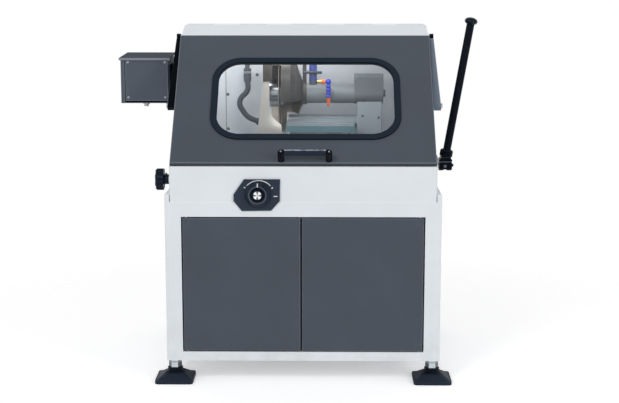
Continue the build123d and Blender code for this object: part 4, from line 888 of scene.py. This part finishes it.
def draw_grommet(shape):
    turned(shape, GROMMET_PLACE, TO_FRONT, GROMMET_PROFILE, stretch=GROMMET_STRETCH)


# The grey bead along the seam is sealant and a painted shadow of the lap.
sealant_and_seam_shadow = black_finish("sealant_and_seam_shadow", srgb(150, 154, 158), 0.6, 2 * MM, 0.1 * MM)
mesh_piece("rear_wall_seam", draw_seam, chamber_paint, "base")
mesh_piece("rear_wall_sealant_shadow", draw_shadow_bead, sealant_and_seam_shadow, "base")
mesh_piece("rear_wall_bolts", draw_wall_bolts, screw_dark, "base")
mesh_piece("rear_wall_grommet", draw_grommet, mark_white, "base")
print("seam at", SEAM_X, "bolts:", len(BOLT_PLACES))

# %% [markdown]
# The black supply hose is held by a steel clamp. The clamp is a turned band, with its screw at the front.
# Its section is the same above and below its middle, so only the upper half is written down.

# %% Hose clamp
HOSE_X, HOSE_Y, CLAMP_Z = -204.5 * MM, 264.0 * MM, 944.0 * MM
SLEEVE = 13.0 * MM
UPPER_HALF = [(SLEEVE - 0.3 * MM, 4.0 * MM), (SLEEVE + 0.7 * MM, 4.0 * MM), (SLEEVE + 1.0 * MM, 3.4 * MM)]
CLAMP_PROFILE = [(radius, -rise) for radius, rise in UPPER_HALF] + UPPER_HALF[::-1]
CLAMP_SCREW, CLAMP_SCREW_LONG, CLAMP_SCREW_SHIFT = 3.4 * MM, 7.0 * MM, 0.4 * SLEEVE


def draw_clamp(shape):
    turned(shape, (HOSE_X, HOSE_Y, CLAMP_Z), (0, 0, 1), CLAMP_PROFILE)
    place = (HOSE_X + CLAMP_SCREW_SHIFT, HOSE_Y - SLEEVE, CLAMP_Z)
    add_screw(shape, place, (1, 0, 0), CLAMP_SCREW, CLAMP_SCREW_LONG)


mesh_piece("hose_clamp", draw_clamp, screw_steel, "base")
print("hose clamp at", round(CLAMP_Z, 3))

# %% [markdown]
# Outside, the rear cover, the cabinet's back panel and its sides are screwed on along their edges, as a
# fitter would want them for cleaning and for reaching the pump. The clamp bolt of the lever hub and the two
# bolts on the pedestal are drawn by the same function.

# %% Panel screws and clamp bolts
back_low, back_high = box_of("cabinet_back_panel")
hub_low, hub_high = box_of("lever_hub")
EDGE = 14.0 * MM
HEAD, HEAD_RISE, HEAD_SINK = 4.5 * MM, 2.4 * MM, 0.2 * MM
BACK_COUNT, COVER_COUNT, SIDE_COUNT = 5, 6, 3
HUB_SCREW, HUB_SCREW_RISE, HUB_SCREW_LEFT, HUB_SCREW_UP = 5.0 * MM, 2.5 * MM, 4.0 * MM, 16.0 * MM
TO_BACK = (0, 1, 0)
PEDESTAL_FRONT = 126.0 * MM
PEDESTAL_BOLTS = [(195.0 * MM, 806.0 * MM), (250.0 * MM, 800.0 * MM)]


def draw_back_screws(shape):
    for z in (back_low.z + EDGE, back_high.z - EDGE):
        for x in spread(back_low.x + EDGE, back_high.x - EDGE, BACK_COUNT):
            add_screw(shape, (x, back_high.y, z), TO_BACK, HEAD, HEAD_RISE)


def draw_cover_screws(shape):
    for x in spread(cover_low.x + EDGE, cover_high.x - EDGE, COVER_COUNT):
        add_screw(shape, (x, cover_high.y, cover_low.z + EDGE), TO_BACK, HEAD, HEAD_RISE)


def draw_side_screws(shape):
    for name, side in (("cabinet_side_left", -1), ("cabinet_side_right", 1)):
        low, high = box_of(name)
        face = low.x if side < 0 else high.x
        for z in spread(low.z + 2 * EDGE, high.z - 4 * EDGE, SIDE_COUNT):
            for y in (low.y + 2 * EDGE, high.y - 2 * EDGE):
                add_screw(shape, (face - side * HEAD_SINK, y, z), (side, 0, 0), HEAD, HEAD_RISE)


def draw_hub_screw(shape):
    place = ((hub_low.x + hub_high.x) / 2 - HUB_SCREW_LEFT, hub_low.y, hub_low.z + HUB_SCREW_UP)
    add_screw(shape, place, TO_FRONT, HUB_SCREW, HUB_SCREW_RISE)


def draw_pedestal_bolts(shape):
    for x, z in PEDESTAL_BOLTS:
        add_screw(shape, (x, PEDESTAL_FRONT, z), TO_FRONT, HEAD, HEAD_RISE)


mesh_piece("back_panel_screws", draw_back_screws, screw_steel, "base")
mesh_piece("rear_cover_screws", draw_cover_screws, screw_steel, "base")
mesh_piece("side_panel_screws", draw_side_screws, screw_steel, "base")
mesh_piece("hub_clamp_screw", draw_hub_screw, screw_dark, "feed_lever")
mesh_piece("pedestal_bolts", draw_pedestal_bolts, screw_dark, "base")
print("panel screws:", 2 * BACK_COUNT + COVER_COUNT + 4 * SIDE_COUNT)

# %% [markdown]
# The hood's handle is held by a screw through each of its two ends. The heads sit on the small flat in
# front of an end, so their place follows from the handle's own box, its roundings and the lean of the hood.

# %% Handle screws
HANDLE_RADIUS, HANDLE_ROUND, HANDLE_RISE = 10.0 * MM, 6.0 * MM, 3.0 * MM
HANDLE_FLAT = HANDLE_RADIUS - HANDLE_ROUND
HANDLE_SCREW, HANDLE_SCREW_RISE = 2.8 * MM, 0.8 * MM
lean_out, lean_up = math.sin(lean), math.cos(lean)
end_y = handle_low.y + HANDLE_ROUND * (1 - lean_out) + HANDLE_FLAT * lean_up
end_z = handle_high.z - HANDLE_RADIUS * (1 - lean_up) - HANDLE_RISE * lean_out


def draw_handle_screws(shape):
    for x in (handle_low.x + HANDLE_RADIUS, handle_high.x - HANDLE_RADIUS):
        add_screw(shape, (x, end_y, end_z), (0.0, -lean_out, lean_up), HANDLE_SCREW, HANDLE_SCREW_RISE)


mesh_piece("handle_screws", draw_handle_screws, screw_steel, "hood")
print("handle screws at", round(end_y, 4), round(end_z, 4))

# %% [markdown]
# The feet are levelled on threaded studs. A thread is a small ridge wound round the stud, and a washer lies
# between the two nuts. Each ridge is a three-sided bar swept along a helix, sixteen points to a turn.

# %% Stud threads and washers
PITCH, RIDGE, STUD = 1.75 * MM, 0.7 * MM, 12.0 * MM
RIDGE_FOOT, RIDGE_HALF = STUD - 0.1 * MM, 0.4 * PITCH
RIDGE_SECTION = [(RIDGE_FOOT, -RIDGE_HALF), (STUD + RIDGE, 0.0), (RIDGE_FOOT, RIDGE_HALF)]
TURN_STEPS = 16
PAD_HALF = 60.0 * MM
THREAD_RANGES = [(60.0 * MM, 63.0 * MM), (78.5 * MM, 96.5 * MM)]
WASHER_LOW, WASHER_HIGH = 60.2 * MM, 62.6 * MM
WASHER_BORE, WASHER_OUT = STUD + 0.5 * MM, 20.0 * MM
WASHER_PROFILE = [(WASHER_BORE, WASHER_LOW), (WASHER_OUT, WASHER_LOW), (WASHER_OUT, WASHER_HIGH),
                  (WASHER_BORE, WASHER_HIGH)]
pads_high = box_of("foot_pads")[1]
foot_x, foot_y = pads_high.x - PAD_HALF, pads_high.y - PAD_HALF
foot_places = [(side * foot_x, end * foot_y) for side in (-1, 1) for end in (-1, 1)]


def add_thread(shape, x, y, low, high):
    steps = int((high - low) / PITCH * TURN_STEPS)
    rows = []
    for step in range(steps + 1):
        angle = 2 * math.pi * step / TURN_STEPS
        rise = low + (high - low) * step / steps
        row = []
        for radius, shift in RIDGE_SECTION:
            point = (x + radius * math.cos(angle), y + radius * math.sin(angle), rise + shift)
            row.append(shape.verts.new(point))
        rows.append(row)
    bridge(shape, rows)
    shape.faces.new(rows[0])
    shape.faces.new(rows[-1])


def draw_threads(shape):
    for x, y in foot_places:
        for low, high in THREAD_RANGES:
            add_thread(shape, x, y, low, high)


def draw_washers(shape):
    for x, y in foot_places:
        turned(shape, (x, y, 0.0), (0, 0, 1), WASHER_PROFILE)


threads = mesh_piece("stud_threads", draw_threads, foot_zinc, "base")
mesh_piece("foot_washers", draw_washers, screw_steel, "base")
print("thread faces:", len(threads.data.polygons), "on feet at", round(foot_x, 4), round(foot_y, 4))

# %% [markdown]
# The light is a plain studio. The floor is pale and fades out into a white background. Both are full white
# only to the camera, to reflections and through glass, by way of the Light Path node, so that they don't
# wash out the paint.


# %% Floor
def seen_rays(wire):
    """1 for rays that show the background: from the camera, off gloss or through glass."""
    path = wire.make("ShaderNodeLightPath")
    camera_ray, glossy_ray, through_ray = path.parts("Is Camera Ray", "Is Glossy Ray", "Is Transmission Ray")
    return wire.math("MAXIMUM", wire.math("MAXIMUM", camera_ray, glossy_ray), through_ray)


FLOOR_RADIUS, FLOOR_SIDES = 3.2, 64
FADE_START, FADE_END = 0.6, 1.7
FLOOR_GLOW = 0.34
WHITE, DARK = (1.0, 1.0, 1.0, 1.0), (0.0, 0.0, 0.0, 1.0)


def pale_floor():
    floor = Finish("studio_floor", Roughness=0.8, Specular_IOR_Level=0.1, Emission_Strength=FLOOR_GLOW)
    floor.set("Base Color", floor.mix(floor.noise(0.9, 2.0), srgb(249, 249, 250), srgb(253, 253, 253)))
    floor.set("Emission Color", floor.mix(seen_rays(floor.wire), DARK, WHITE))
    away = floor.vector("LENGTH", floor.place, (0, 0, 0), out="Value")
    solid = Wire(floor.tree, floor.shader.outputs[0])
    clear = floor.wire.make("ShaderNodeBsdfTransparent")
    fade = {0: away.ramp(FADE_START, FADE_END), 1: solid, 2: clear}
    faded = floor.wire.make("ShaderNodeMixShader", inputs=fade)
    floor.wire.feed(floor.tree.nodes["Material Output"].inputs["Surface"], faded)
    return floor.material


floor_mesh = bpy.data.meshes.new("studio_floor")
floor_shape = bmesh.new()
bmesh.ops.create_circle(floor_shape, cap_ends=True, segments=FLOOR_SIDES, radius=FLOOR_RADIUS)
floor_shape.to_mesh(floor_mesh)
floor_shape.free()
studio_floor = bpy.data.objects.new("studio_floor", floor_mesh)
bpy.context.collection.objects.link(studio_floor)
floor_mesh.materials.append(pale_floor())
print("floor of radius", FLOOR_RADIUS, "m")

# %% [markdown]
# The sky is a soft white dome. To the rays that show the background it is full white from the horizon to
# well above the camera's view, and it dims towards the top, as a studio with a dark ceiling does, so that
# dark gloss stays dark.

# %% World
SKY_LIGHT = 0.5
DOME_START, DOME_END = 0.35, 0.75
world = bpy.data.worlds.new("studio")
world.use_nodes = True
bpy.context.scene.world = world
sky = Wire(world.node_tree)
direction = sky.make("ShaderNodeTexCoord", out="Generated")
upward = sky.make("ShaderNodeSeparateXYZ", inputs={0: direction}, out="Z")
white_part = seen_rays(sky) * upward.ramp(DOME_END, DOME_START)
background = world.node_tree.nodes["Background"]
background.inputs["Color"].default_value = WHITE
sky.feed(background.inputs["Strength"], SKY_LIGHT + (1.0 - SKY_LIGHT) * white_part)
print("sky light", SKY_LIGHT)

# %% [markdown]
# Two softboxes light the machine, one above and in front at the left, a weaker one at the right, and a broad
# faint lamp hangs over it. Three small ones near the camera put sharp spots on glossy knobs and a line along
# turned metal. Two slim strips inside the chamber stand for its work light, and a narrow beam reaches the
# guard's mouth. The camera doesn't see these last three.


# %% Lamps
def soft_lamp(name, place, target, size, power):
    """A rectangular lamp aimed at a target. Its place and size are in metres, its power is in watts."""
    lamp = bpy.data.lights.new(name, "AREA")
    lamp.shape = "RECTANGLE"
    lamp.size, lamp.size_y = size
    lamp.energy = power
    holder = bpy.data.objects.new(name, lamp)
    holder.location = place
    holder.rotation_euler = (Vector(target) - Vector(place)).to_track_quat("-Z", "Y").to_euler()
    bpy.context.collection.objects.link(holder)
    return holder


MACHINE_MIDDLE = (0.0, 0.0, 0.6)
SPOT_PLACES = [(-1.3, -4.4, 1.7), (0.0, -4.6, 1.9), (1.3, -4.4, 2.2)]
SPOT_SIZE, SPOT_POWER = (0.25, 0.05), 1.2
MOUTH_BEAM = 22.0
soft_lamp("key_lamp", (-1.6, -3.4, 3.0), MACHINE_MIDDLE, (1.1, 0.6), 46.5)
soft_lamp("fill_lamp", (2.6, -2.8, 1.8), MACHINE_MIDDLE, (0.9, 0.6), 25.0)
soft_lamp("top_lamp", (0.2, 0.4, 3.6), MACHINE_MIDDLE, (2.6, 2.2), 10.0)
for number, place in enumerate(SPOT_PLACES):
    soft_lamp(f"front_spot_{number}", place, MACHINE_MIDDLE, SPOT_SIZE, SPOT_POWER)
back_strip = soft_lamp("chamber_back_lamp", (-0.15, 0.085, 1.06), (-0.15, 0.24, 0.80), (0.5, 0.05), 1.05)
front_strip = soft_lamp("chamber_front_lamp", (0.10, 0.0, 0.995), (0.10, 0.711, 0.292), (0.5, 0.04), 0.3)
mouth_lamp = soft_lamp("mouth_lamp", (-0.080, -0.15, 0.83), (-0.080, 0.13, 0.79), (0.04, 0.03), 0.008)
mouth_lamp.data.spread = math.radians(MOUTH_BEAM)
for hidden_lamp in (back_strip, front_strip, mouth_lamp):
    hidden_lamp.visible_camera = False

# %% [markdown]
# The camera stands a little above the hood's top edge and over four metres away, as a product photographer
# would, so that the upright lines stay nearly upright.

# %% Camera
EYE = (0.0687, -4.220, 1.250)
LOOK_DOWN = 9.67
LOOK_LEFT = 0.715
LENS, SENSOR_WIDTH = 74.41, 36.0
camera_data = bpy.data.cameras.new("camera")
camera_data.sensor_width = SENSOR_WIDTH
camera_data.lens = LENS
camera = bpy.data.objects.new("camera", camera_data)
camera.location = EYE
camera.rotation_euler = (math.radians(90.0 - LOOK_DOWN), 0.0, math.radians(LOOK_LEFT))
bpy.context.collection.objects.link(camera)
bpy.context.scene.camera = camera
bpy.context.scene.view_settings.view_transform = "Standard"
print("camera at", EYE)
